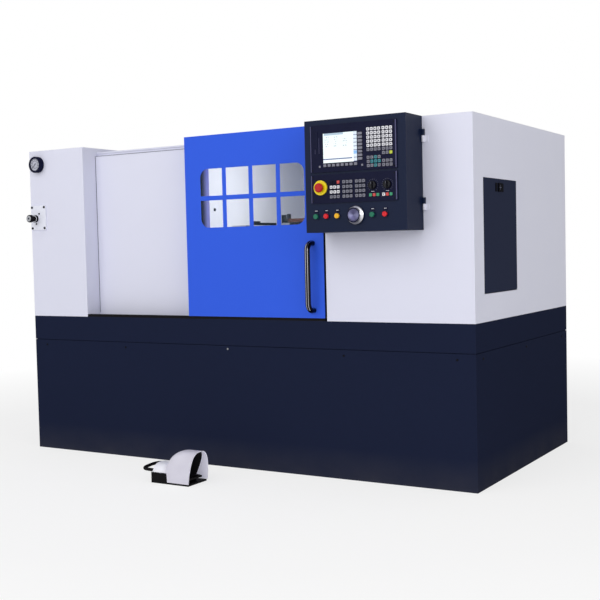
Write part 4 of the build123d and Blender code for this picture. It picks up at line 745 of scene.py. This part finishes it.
def read_back(name, base, tree, settings):
    """Plain mesh of what a tree makes from a base mesh, with its inputs set by name."""
    holder = in_scene(name + "_holder", base)
    modifier = holder.modifiers.new("tree", "NODES")
    modifier.node_group = tree
    for item in tree.interface.items_tree:
        if item.in_out == "INPUT" and item.name in settings:
            modifier[item.identifier] = settings[item.name]
    ready = holder.evaluated_get(bpy.context.evaluated_depsgraph_get())
    mesh = bpy.data.meshes.new_from_object(ready)
    mesh.name = name
    holder.modifiers.clear()
    bpy.data.objects.remove(holder)
    return mesh


part_tree = repeat_tree()


def repeated(name, part_mesh, spots, facing, finish, body, slot, jitter=0.0, seed=1):
    """One piece made of a part at every spot (mm), its Z turned to the facing."""
    base = bpy.data.meshes.new(name + "_spots")
    base.from_pydata([Vector(s) * MM for s in spots], [], [])
    facings = facing if isinstance(facing, list) else [facing] * len(spots)
    stored = base.attributes.new("facing", "FLOAT_VECTOR", "POINT")
    for k, way in enumerate(facings):
        stored.data[k].vector = way
    part = in_scene(name + "_part", part_mesh)
    mesh = read_back(name, base, part_tree, {
        "Part": part, "Size": 1.0, "Turn Jitter": jitter, "Seed": seed,
        "Finish": finishes[finish]})
    bpy.data.objects.remove(part)
    settle(name, mesh, None, body, slot, smooth=False)
    print(name, len(spots), "parts,", len(mesh.polygons), "faces")


# %% [markdown]
# ## Screws
# Sheet covers are held by screws with a square recess, and heavy parts by socket cap
# screws. Each head is modelled once: a low cap with a hollow for the tool, made of
# rings of corners that run up its side, over its top and down into the hollow.

# %% Screw heads
def socket_head(name, radius, height, depth, sides=6, parts=24):
    """Head lying on z = 0, with a socket of the given depth and number of sides."""
    half = math.pi / sides

    def ring(reach, z, flats=False):
        corners = []
        for k in range(parts):
            a = 2 * math.pi * k / parts
            out = reach * MM
            if flats:
                out = out * math.cos(half) / math.cos(a % (2 * half) - half)
            corners.append((out * math.cos(a), out * math.sin(a), z * MM))
        return corners

    return ring_mesh(name, [
        ring(radius, 0), ring(radius, height * 0.8), ring(radius * 0.86, height),
        ring(radius * 0.55, height), ring(radius * 0.5, height, True),
        ring(radius * 0.5, height - depth, True)])


def screws(name, head, *settings):
    repeated(name, socket_head(name + "_head", *head), *settings)


STAND_FACE, STAND_END, SEAM_Z, BEZEL_FACE = -642.5, 1275, 566, -814.5
stand_front = [(x, STAND_FACE, SEAM_Z) for x in (-1190, -640, 640, 1190)]
stand_side = [(STAND_END, y, SEAM_Z) for y in (-560, 0, 560)]
screws("stand_screws", (5, 2.4, 1.4, 4), stand_front + stand_side,
       [FRONT_WAY] * 4 + [RIGHT_WAY] * 3, "blackened_screw", "machine", "black_metal", 3.1, 4)
screws("earth_screw", (5, 3.0, 1.4, 4), [(2, STAND_FACE, 577.6)],
       FRONT_WAY, "zinc_screw", "machine", "steel", 0.4, 5)
screws("wall_bolts", (8, 5, 3), [(-315, -279, 1268), (-315, -279, 900)],
       RIGHT_WAY, "blackened_screw", "machine", "black_metal", 1.0, 2)
screws("glazing_screws", (4, 2.2, 1.2, 4),
       [(x, -636, z) for x in (-148, 5, 158, 311, 464) for z in (1154, 1462)],
       BACK_WAY, "zinc_screw", "door", "steel", 3.1, 6)
screws("chuck_bolts", (8, 3, 3),
       [(-213, -110 + 72 * c, 1080 - 72 * s) for c, s in round_turns(3, 30)],
       RIGHT_WAY, "blackened_screw", "spindle", "steel", 1.0, 3)
screws("disc_bolts", (7, 4, 3.5),
       [(-162, 150 + 60 * c, 1080 + 60 * s) for c, s in round_turns(4, 45)],
       LEFT_WAY, "blackened_screw", "turret_disc", "steel", 1.0, 8)
screws("bezel_screws", (3, 1.2, 0.9),
       [(x, BEZEL_FACE, z) for x in (600, 993) for z in (1259, 1363, 1393, 1577)],
       FRONT_WAY, "blackened_screw", "operator_box", "black_metal", 1.0, 9)


# %% [markdown]
# ## Keys
# The key mats are black rubber mouldings. Most caps are white with a dark mark in
# their middle, the cursor keys are teal, and a few keys on the lower panel are
# coloured. A key is a pillow: a square with rounded corners whose top is a little
# smaller than its foot. Each colour is one repeat over its own list of places.

# %% Key caps
KEY_SIDE, KEY_STEP, PANEL_STEP = 13.0, 17.2, 20.6
CONTROL_Z, LETTER_TOP = 1316.5, 1559.64


def pillow(name, wide, deep, height, corner, shrink):
    """Key cap on z = 0: rounded rectangle that narrows towards its top."""
    rings = []
    for size, z in ((1.0, 0.0), (1.0, height * 0.55), (shrink, height * 0.92),
                    (shrink * 0.8, height)):
        round_r = corner * size
        ring = []
        for quarter in range(4):
            cx = (wide / 2 * size - round_r) * (1 if quarter in (0, 3) else -1)
            cy = (deep / 2 * size - round_r) * (1 if quarter in (0, 1) else -1)
            for k in range(4):
                a = math.pi / 2 * quarter + math.pi / 6 * k
                ring.append(((cx + round_r * math.cos(a)) * MM,
                             (cy + round_r * math.sin(a)) * MM, z * MM))
        rings.append(ring)
    return ring_mesh(name, rings)


def key_spots(left, top, columns, rows, across=KEY_STEP, down=KEY_STEP, wide=KEY_SIDE):
    """Middles of the keys of one mat, row by row from its top left corner."""
    return [(left + wide / 2 + c * across, BEZEL_FACE, top - KEY_SIDE / 2 - r * down)
            for r in range(rows) for c in range(columns)]


side_keys = key_spots(823, 1545, 1, 8, KEY_STEP, 15.2, 22)
foot_keys = key_spots(654, 1418, 8, 1, 21.43, KEY_STEP, 15)
letter_keys = key_spots(866.3, LETTER_TOP, 4, 6)
number_keys = key_spots(938.5, LETTER_TOP, 3, 7)
cursor_keys = key_spots(866.3, 1440.7, 4, 3)
edit_keys = key_spots(938.5, 1423.5, 3, 2)
mode_keys, jog_keys, axis_keys = (key_spots(left, 1344.1, 3, 4, KEY_STEP, PANEL_STEP)
                                  for left in (684.0, 745.9, 807.8))
start_keys = key_spots(873.8, 1282.3, 3, 1) + key_spots(935.7, 1282.3, 3, 1)
teal_spots = [cursor_keys[k] for k in (2, 5, 6, 7, 10)]
white_spots = letter_keys[:20] + number_keys[:15] + mode_keys[3:9] + start_keys[3:4]
grey_spots = (letter_keys[20:] + number_keys[15:20] + edit_keys
              + [k for k in cursor_keys if k not in teal_spots]
              + mode_keys[9:] + jog_keys + axis_keys)
key_cap = pillow("key_cap", 13.6, 13.6, 2.7, 2.0, 0.9)
for name, cap, spots, finish in (
        ("white_caps", key_cap, white_spots, "white_key"),
        ("grey_caps", key_cap, grey_spots, "grey_key"),
        ("teal_caps", key_cap, teal_spots, "teal_key"),
        ("lime_caps", key_cap, number_keys[20:], "lime_key"),
        ("red_caps", key_cap, [mode_keys[2], start_keys[1], start_keys[4]], "red_key"),
        ("green_caps", key_cap, [start_keys[k] for k in (0, 2, 5)], "green_key"),
        ("blank_caps", key_cap, mode_keys[:2], "key_mat_rubber"),
        ("side_caps", pillow("side_cap", 22.4, 11.6, 2.2, 1.6, 0.92), side_keys, "grey_key"),
        ("foot_caps", pillow("foot_cap", 15.6, 12.6, 2.2, 1.6, 0.92), foot_keys, "grey_key"),
        ("key_legends", pillow("legend_mark", 5.2, 5.2, 0.3, 0.8, 0.96),
         [(x, y - 2.6, z) for x, y, z in white_spots + grey_spots + teal_spots],
         "legend_ink")):
    repeated(name, cap, spots, FRONT_WAY, finish, "operator_box", "key_plastic")


# %% [markdown]
# ## Scales round the knobs
# A scale is a row of short bars on part of a circle. Its tree makes the circle's
# points itself, so its inputs are the radius, the number of marks and the sweep.

# %% The tree that makes a scale
def scale_tree():
    """Node group: bars at even steps along part of a circle, all pointing outwards."""
    recipe = Recipe("round_scale", "Scale", Geometry=["Base"],
                    Float=["Radius", "Sweep", "Length", "Width", "Rise"],
                    Int=["Marks"], Material=["Finish"])
    node, given = recipe.node, recipe.given
    angle = (node("GeometryNodeInputIndex") / (given["Marks"] - 1.0) - 0.5) * given["Sweep"]
    line = node("GeometryNodeMeshLine", {"Count": given["Marks"], "Offset": (0, 0, 0)},
                mode="OFFSET")
    spot = node("ShaderNodeCombineXYZ", {"X": angle.put("SINE") * given["Radius"],
                                         "Y": angle.put("COSINE") * given["Radius"]})
    size = node("ShaderNodeCombineXYZ", {"X": given["Width"], "Y": given["Length"],
                                         "Z": given["Rise"]})
    return recipe.painted(node("GeometryNodeInstanceOnPoints", {
        "Points": node("GeometryNodeSetPosition", {"Geometry": line, "Position": spot}),
        "Instance": node("GeometryNodeMeshCube", {"Size": size}),
        "Rotation": node("ShaderNodeCombineXYZ", {"Z": angle * -1.0})}))


round_scale = scale_tree()
TO_FRONT = Matrix(((1, 0, 0), (0, 0, -1), (0, 1, 0))).to_4x4()


def scale_piece(name, centre, radius, marks, sweep, length, width, finish, body, slot):
    """Scale marks on a face that looks to the front, middle at centre (mm)."""
    mesh = read_back(name, bpy.data.meshes.new(name + "_base"), round_scale, {
        "Radius": radius * MM, "Sweep": math.radians(sweep), "Length": length * MM,
        "Width": width * MM, "Rise": 0.5 * MM, "Marks": marks,
        "Finish": finishes[finish]})
    mesh.transform(Matrix.Translation(Vector(centre) * MM) @ TO_FRONT)
    settle(name, mesh, None, body, slot, smooth=False)
    print(name, marks, "marks")


KNOB_X = (891.0, 960.0)
for name, x in zip(("feed", "rapid"), KNOB_X):
    scale_piece(name + "_scale", (x, BEZEL_FACE, CONTROL_Z), 25, 15, 280, 3.6, 1.2,
                "dim_mark", "operator_box", "white_paint")
for name, x in zip(("feed", "rapid"), KNOB_X):
    plates(name + "_pointer", [((x - 0.7, BEZEL_FACE - 18.4, CONTROL_Z + 3),
                                (x + 0.7, BEZEL_FACE - 17.8, CONTROL_Z + 12.4))],
           "dim_mark", name + "_override_knob", "white_paint", 0.1)


# %% [markdown]
# ## The pulse handwheel's dial
# The handwheel is a chromed cup with a dark ring and a silver dial with a hundred
# marks. The dial and its ring are turned discs, and the marks are one scale of 100.

# %% Dial of the handwheel
wheel_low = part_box("handwheel")[0]
print("handwheel from", [round(v, 4) for v in wheel_low])
wheel_face = (WHEEL[0], wheel_low.y / MM, WHEEL[1])
turned("wheel_dial", [(0.2, 0), (25.6, 0), (26.2, 0.4), (26.2, 1.2), (25.6, 1.7),
                      (9.0, 1.7), (8.0, 1.2), (0.2, 1.2)],
       wheel_face, "faced_dial", "handwheel", "chrome")
turned("wheel_ring", [(26.4, 0), (31.6, 0), (31.6, 1.2), (31.0, 2.0), (27.0, 2.0),
                      (26.4, 1.4)], wheel_face, "black_plastic", "handwheel", "black_plastic")
scale_piece("wheel_scale", (WHEEL[0], wheel_face[1] - 1.8, WHEEL[1]), 22.6, 100, 356.4,
            3.2, 0.45, "legend_ink", "handwheel", "black_plastic")


# %% [markdown]
# ## Strips, plates and the port cover on the operator box
# Both bezels have grey rails down their left and right edges. A slim cover left of
# the screen hides a data port. Each push button has a small black plate over it with
# a pale bar where its word would be, and each knob has a pale bar below it.

# %% Bezel trim
BUTTON_X = (611.0, 662.0, 716.0, 886.0, 946.0)
for name, blocks, finish, slot, edge in (
        ("bezel_rails", [((left, -816.2, low), (right, -812.5, high))
                         for left, right in ((591.0, 594.5), (999.5, 1005.0))
                         for low, high in ((1386, 1584), (1252, 1370))],
         "edge_strip", "black_plastic", 0.6),
        ("port_cover", [((612, -816.5, 1484), (628, -814.0, 1560)),
                        ((617, -817.3, 1490), (623, -816.0, 1554))],
         "black_plastic", "black_plastic", 0.5),
        ("button_plates", [((x - 11, -810.0, 1208.5), (x + 11, -808.3, 1222))
                           for x in BUTTON_X], "black_plastic", "black_plastic", 0.4),
        ("button_words", [((x - 6, -810.5, 1216), (x + 6, -809.9, 1218.4))
                          for x in BUTTON_X], "scale_white", "white_paint", 0.1),
        ("port_edges", [((x, -815.6, 1464), (x + 1.4, -814.2, 1532))
                        for x in (613.5, 633)], "edge_strip", "black_plastic", 0.2),
        ("corner_caps", [((left, -816.8, low), (left + 9, -814.3, low + 9))
                         for left, low in ((631.4, 1403.4), (839.0, 1400.1))],
         "grey_key", "key_plastic", 1.0),
        ("knob_labels", [((x - 7, -815.0, 1289.2), (x + 7, -814.3, 1291.2))
                         for x in KNOB_X], "scale_white", "white_paint", 0.1)):
    plates(name, blocks, finish, "operator_box", slot, edge)
print("bezel rails, port edges and button plates placed")


# %% [markdown]
# ## Pressure gauge and valve
# The gauge is a thick black case round a small silver dial. It has 41 marks over three
# quarters of a turn, and the needle of the solid model turns over them. Under it, a
# plate with four screws carries a ribbed knob with a bright cap.

# %% Gauge face and valve trim
GAUGE = (-1211.0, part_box("pressure_gauge")[0].y / MM + 5.0, 1536.0)
turned("gauge_dial", [(0.2, 0), (36.6, 0), (36.6, 0.5), (0.2, 0.5)],
       GAUGE, "gauge_silver", "machine", "white_paint")
turned("gauge_bezel", [(32.0, 0.4), (36.7, 0.4), (36.7, 4.6), (35.8, 5.6), (33.4, 5.0),
                       (32.0, 2.4)], GAUGE, "black_plastic", "machine", "black_plastic")
turned("gauge_ring", [(18.5, 0.4), (20.5, 0.4), (20.5, 0.7), (18.5, 0.7)],
       GAUGE, "legend_ink", "machine", "black_plastic")
scale_piece("gauge_scale", (GAUGE[0], GAUGE[1] - 0.7, GAUGE[2]), 29.0, 41, 270, 4.0, 0.8,
            "legend_ink", "machine", "black_plastic")
scale_piece("gauge_main_marks", (GAUGE[0], GAUGE[1] - 0.8, GAUGE[2]), 26.8, 9, 270, 8.0,
            1.8, "legend_ink", "machine", "black_plastic")
KNOB, PLATE_Y = (-1229.0, 1247.0), -648.5
knob_end = (KNOB[0], -708.5, KNOB[1])
screws("plate_screws", (6.4, 3.0, 1.6),
       [(x, PLATE_Y, z) for x in (-1262, -1174) for z in (1196, 1308)],
       FRONT_WAY, "blackened_screw", "machine", "black_metal", 1.0, 11)
screws("collar_screws", (5.0, 2.2, 1.4),
       [(KNOB[0] + 18, PLATE_Y, KNOB[1] + 26), (KNOB[0] - 4, PLATE_Y, KNOB[1] - 28)],
       FRONT_WAY, "blackened_screw", "machine", "black_metal", 1.0, 12)
turned("knob_cap", [(0.2, 0), (15.6, 0), (16.0, 0.5), (15.6, 1.6), (7.0, 2.0), (6.2, 1.0),
                    (0.2, 1.0)],
       knob_end, "turned_steel", "valve_knob", "chrome")
turned("knob_dot", [(0.2, 1.0), (4.6, 1.0), (4.6, 1.6), (0.2, 1.6)],
       knob_end, "black_plastic", "valve_knob", "black_plastic", 32)
turned("collar_ring", [(17.7, 8.0), (20.0, 8.0), (20.0, 18.0), (18.8, 19.4), (17.7, 19.4)],
       (KNOB[0], PLATE_Y, KNOB[1]), "black_oxide", "machine", "black_metal")


def rib_mesh(long, wide, deep):
    """Rib lying along Y with its rounded back towards +Z."""
    section = ((-1, 0), (1, 0), (0.7, 0.7), (0.25, 1), (-0.25, 1), (-0.7, 0.7))
    return ring_mesh("rib", [[(x * wide / 2 * MM, y * long / 2 * MM, z * deep * MM)
                              for x, z in section] for y in (1, -1)])


rib_turns = round_turns(18)
repeated("knob_ribs", rib_mesh(16, 3.0, 3.4),
         [(KNOB[0] + 17.0 * c, -697, KNOB[1] + 17.0 * s) for c, s in rib_turns],
         [(c, 0, s) for c, s in rib_turns], "knob_plastic", "valve_knob", "black_plastic")
print("gauge and valve dressed")


# %% [markdown]
# ## Behind the door
# Two thin joints line the fixed panel, and a black strip that stands in for the shadow
# in the gap behind the door, as painted shadow, and a folded lip edge it behind the door.
# A coolant bar runs along the wall, the turret head has a cover and a clamp block, and a
# lamp hangs under the roof. The hatch's latch has two wing plates.

# %% Painted shadow strip, work lamp and latch wings
WING_Y, PANEL_FACE = (-377, -298), -544.5
for name, blocks, finish, body, slot, edge in (
        # Black strip that stands in for the shadow in the gap behind the door: painted shadow.
        ("wiper_strip", [((-221, -547.0, 736), (-196, PANEL_FACE, 1558))],
         "seal_rubber", "machine", "rubber", 0.8),
        ("panel_lip", [((-197, -546.6, 736), (-153, PANEL_FACE, 1558))],
         "lip_paint", "machine", "white_paint", 0.6),
        ("panel_seams", [((-886, -545.4, 1565.6), (-224, PANEL_FACE, 1568.2)),
                         ((-892, -545.4, 738), (-889.2, PANEL_FACE, 1568.2))],
         "dim_mark", "machine", "black_metal", 0),
        ("coolant_bar", [((-315, 85, 1190), (-309, 320, 1203)),
                         ((-315, 85, 1190), (-308, 150, 1211))],
         "seal_rubber", "machine", "rubber", 0.8),
        ("turret_clamp", [((-78, 58, 1194), (-67, 88, 1242))],
         "tool_black", "cross_slide", "black_metal", 3),
        ("work_lamp", [((392, -268, 1574), (532, -172, 1607))],
         "black_oxide", "machine", "black_metal", 3),
        ("work_lamp_lens", [((402, -258, 1570), (522, -182, 1575))],
         "lamp_lens", "machine", "white_paint", 1.5),
        ("turret_cover", [((-74, 58, 1195), (110, 242, 1216))],
         "turret_brown_paint", "cross_slide", "brown_paint", 4),
        ("latch_wings", [((1275.0, y - 10, 1286), (1277.4, y + 10, 1324)) for y in WING_Y],
         "latch_black", "side_hatch", "black_metal", 0.8)):
    plates(name, blocks, finish, body, slot, edge)
screws("wing_screws", (3.4, 1.6, 1.2), [(1277.4, y, LATCH[1]) for y in WING_Y],
       RIGHT_WAY, "blackened_screw", "side_hatch", "steel", 1.0, 13)
print("inside and hatch trim placed")


# %% [markdown]
# ## The foot pedal's guard
# The guard follows a rule, so Geometry Nodes shape it from a flat grid. Along its
# length the ridge runs level over the crowned deck, climbs a quarter ellipse and stays
# level to the mouth, which leans forward. Across it, each section is a rounded arch.
# The grid's two directions become those two rules, and a wall is added afterwards.

# %% The tree that shapes the guard
def guard_tree():
    """Node group: a grid bent into the guard, with its sizes as named inputs."""
    recipe = Recipe("foot_guard", "Guard", Geometry=["Base"],
                    Float=["Left", "Length", "Middle", "Half Width", "Foot", "Lid",
                           "Lid End", "Deck", "Top", "Hood Start", "Hood Level", "Lean",
                           "Roundness"], Material=["Finish"])
    node, size = recipe.node, recipe.given
    grid = node("GeometryNodeMeshGrid", {"Vertices X": 106, "Vertices Y": 61})
    flat = node("GeometryNodeInputPosition")
    along, across = (node("ShaderNodeSeparateXYZ", {0: flat}, letter) + 0.5
                     for letter in "XY")
    x = size["Left"] + along * size["Length"]
    angle = across * math.pi
    wide, high = angle.put("COSINE"), angle.put("SINE")
    power = 2.0 / size["Roundness"]
    sideways = wide.put("SIGN") * wide.size().put("POWER", power)
    y = size["Middle"] - sideways * size["Half Width"]
    climb = ((x - size["Hood Start"]) / (size["Hood Level"] - size["Hood Start"])).clamped()
    swell = (1.0 - (1.0 - climb) * (1.0 - climb)).put("SQRT")
    ridge = size["Deck"] + (size["Top"] - size["Deck"]) * swell
    z = size["Foot"] + (ridge - size["Foot"]) * high.size().put("POWER", power)
    floor_z = size["Foot"] + (size["Lid"] - size["Foot"]) * x.below(size["Lid End"])
    z = z.put("MAXIMUM", floor_z)
    closed = along.below(0.004)
    z = z * (1.0 - closed) + floor_z * closed
    front = (x / (size["Left"] + size["Length"])).clamped()
    lean = z * size["Lean"] * front * front
    spot = node("ShaderNodeCombineXYZ", {"X": x + lean, "Y": y, "Z": z})
    return recipe.painted(node("GeometryNodeSetPosition",
                               {"Geometry": grid, "Position": spot}))


# %% Guard and carrying loop
WALL, WELD, SLIVER = 2.6 * MM, 0.05 * MM, 0.02 * MM
guard_mesh = read_back("foot_guard", bpy.data.meshes.new("guard_base"), guard_tree(), {
    "Left": -142 * MM, "Length": 210 * MM, "Middle": -1001 * MM, "Half Width": 73 * MM,
    "Foot": 8 * MM, "Lid": 49.2 * MM, "Lid End": -53 * MM, "Deck": 85 * MM, "Top": 149 * MM,
    "Hood Start": -67 * MM, "Hood Level": 19 * MM, "Lean": 0.12, "Roundness": 2.7,
    "Finish": finishes["guard_paint"]})
shell = bmesh.new()
shell.from_mesh(guard_mesh)
bmesh.ops.remove_doubles(shell, verts=shell.verts, dist=WELD)
bmesh.ops.dissolve_degenerate(shell, edges=shell.edges, dist=SLIVER)
bmesh.ops.recalc_face_normals(shell, faces=shell.faces)
top_face = max(shell.faces, key=lambda f: f.calc_center_median().z)
if top_face.normal.z < 0:
    bmesh.ops.reverse_faces(shell, faces=shell.faces)
bmesh.ops.solidify(shell, geom=shell.faces[:], thickness=WALL)
shell.to_mesh(guard_mesh)
shell.free()
guard = settle("foot_guard", guard_mesh, None, "machine", "white_plastic")
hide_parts("pedal_guard")
print("foot guard", len(guard_mesh.polygons), "faces")

LOOP_PATH = [(-138, -1062, 56), (-160, -1062, 56), (-192, -1060, 57), (-208, -1036, 59),
             (-208, -1004, 61), (-208, -972, 63), (-192, -948, 65), (-160, -946, 66),
             (-138, -946, 66)]
wire = bpy.data.curves.new("loop_wire", "CURVE")
wire.dimensions = "3D"
wire.bevel_depth = 7.5 * MM
wire.bevel_resolution = 5
wire.use_fill_caps = True
line = wire.splines.new("NURBS")
line.points.add(len(LOOP_PATH) - 1)
for point, (x, y, z) in zip(line.points, LOOP_PATH):
    point.co = (x * MM, y * MM, z * MM, 1)
line.order_u = 3
line.use_endpoint_u = True
line.resolution_u = 8
bent = in_scene("loop_bent", wire)
ready = bent.evaluated_get(bpy.context.evaluated_depsgraph_get())
loop_mesh = bpy.data.meshes.new_from_object(ready)
bpy.data.objects.remove(bent)
carry_loop = settle("carry_loop", loop_mesh, "black_oxide", "machine", "black_metal")
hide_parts("pedal_bail")
print("carrying loop", len(loop_mesh.polygons), "faces")


# %% [markdown]
# ## Floor, light and backdrop
# A pale floor takes the shadow, and the world behind it is plain white to the camera
# and to mirrors. Two large soft lamps stand at the left and right of the camera, and
# one lamp hangs inside the cabin, where such a machine has its work light. The floor
# glows white in part, and wholly so far from the machine, where it meets the backdrop.

# %% Floor and lamps
FLOOR_HALF, FLOOR_Z = 30, -0.001
FADE_START, FADE_RATE, NEAR_GLOW = 2.2, 0.4, 0.72
floor_mesh = bpy.data.meshes.new("floor")
floor_mesh.from_pydata([(x * FLOOR_HALF, y * FLOOR_HALF, FLOOR_Z)
                        for x, y in ((-1, -1), (1, -1), (1, 1), (-1, 1))], [], [(0, 1, 2, 3)])
floor = in_scene("floor", floor_mesh)
pale = Finish("pale_floor", (0.93, 0.93, 0.935, 1), Roughness=0.9, Specular_IOR_Level=0.0)
far = pale.node("ShaderNodeVectorMath", {0: pale.spot}, "Value", operation="LENGTH")
away = ((far - FADE_START) * FADE_RATE).clamped() * (1 - NEAR_GLOW) + NEAR_GLOW
looked_at, glossed = (pale.node("ShaderNodeLightPath", output=f"Is {word} Ray")
                      for word in ("Camera", "Glossy"))
glow = pale.node("ShaderNodeEmission", {"Color": (1, 1, 1, 1), "Strength": 1.0})
both = pale.node("ShaderNodeMixShader", {0: away * (looked_at + glossed),
                                         1: Wire(pale.tree, pale.skin.outputs[0]), 2: glow})
pale.tree.links.new(both.socket, pale.tree.nodes["Material Output"].inputs["Surface"])
floor_mesh.materials.append(finishes["pale_floor"])

AMBIENT = 0.45
world = bpy.data.worlds.new("studio")
bpy.context.scene.world = world
world.use_nodes = True
air = Tree(world.node_tree)
sky = air.tree.nodes["Background"]
sky.inputs["Color"].default_value = (1, 1, 1, 1)
by_camera, by_mirror, by_glass = (air.node("ShaderNodeLightPath", output=f"Is {word} Ray")
                                  for word in ("Camera", "Glossy", "Transmission"))
seen = by_camera.put("MAXIMUM", by_mirror).put("MAXIMUM", by_glass)
level = air.node("ShaderNodeMix", {0: seen, 2: AMBIENT, 3: 1.0}, data_type="FLOAT")
air.tree.links.new(level.socket, sky.inputs["Strength"])


def soft_lamp(name, place, target, size, power, colour=(1, 1, 1)):
    """Square lamp aimed from one place at another, all in metres and watts."""
    lamp = bpy.data.lights.new(name, "AREA")
    lamp.size = size
    lamp.energy = power
    lamp.color = colour
    thing = in_scene(name, lamp)
    thing.location = place
    thing.rotation_euler = (Vector(target) - Vector(place)).to_track_quat("-Z", "Y").to_euler()


soft_lamp("key_lamp", (-0.6, -7.5, 4.4), (0, -0.6, 0.8), size=8.0, power=290)
soft_lamp("fill_lamp", (5.5, -3.5, 3.0), (0.6, 0, 0.9), size=3.0, power=62)
soft_lamp("cabin_lamp", (0.40, -0.12, 1.42), (-0.315, -0.46, 1.12), size=0.2, power=5.3,
          colour=(0.98, 0.99, 1.0))
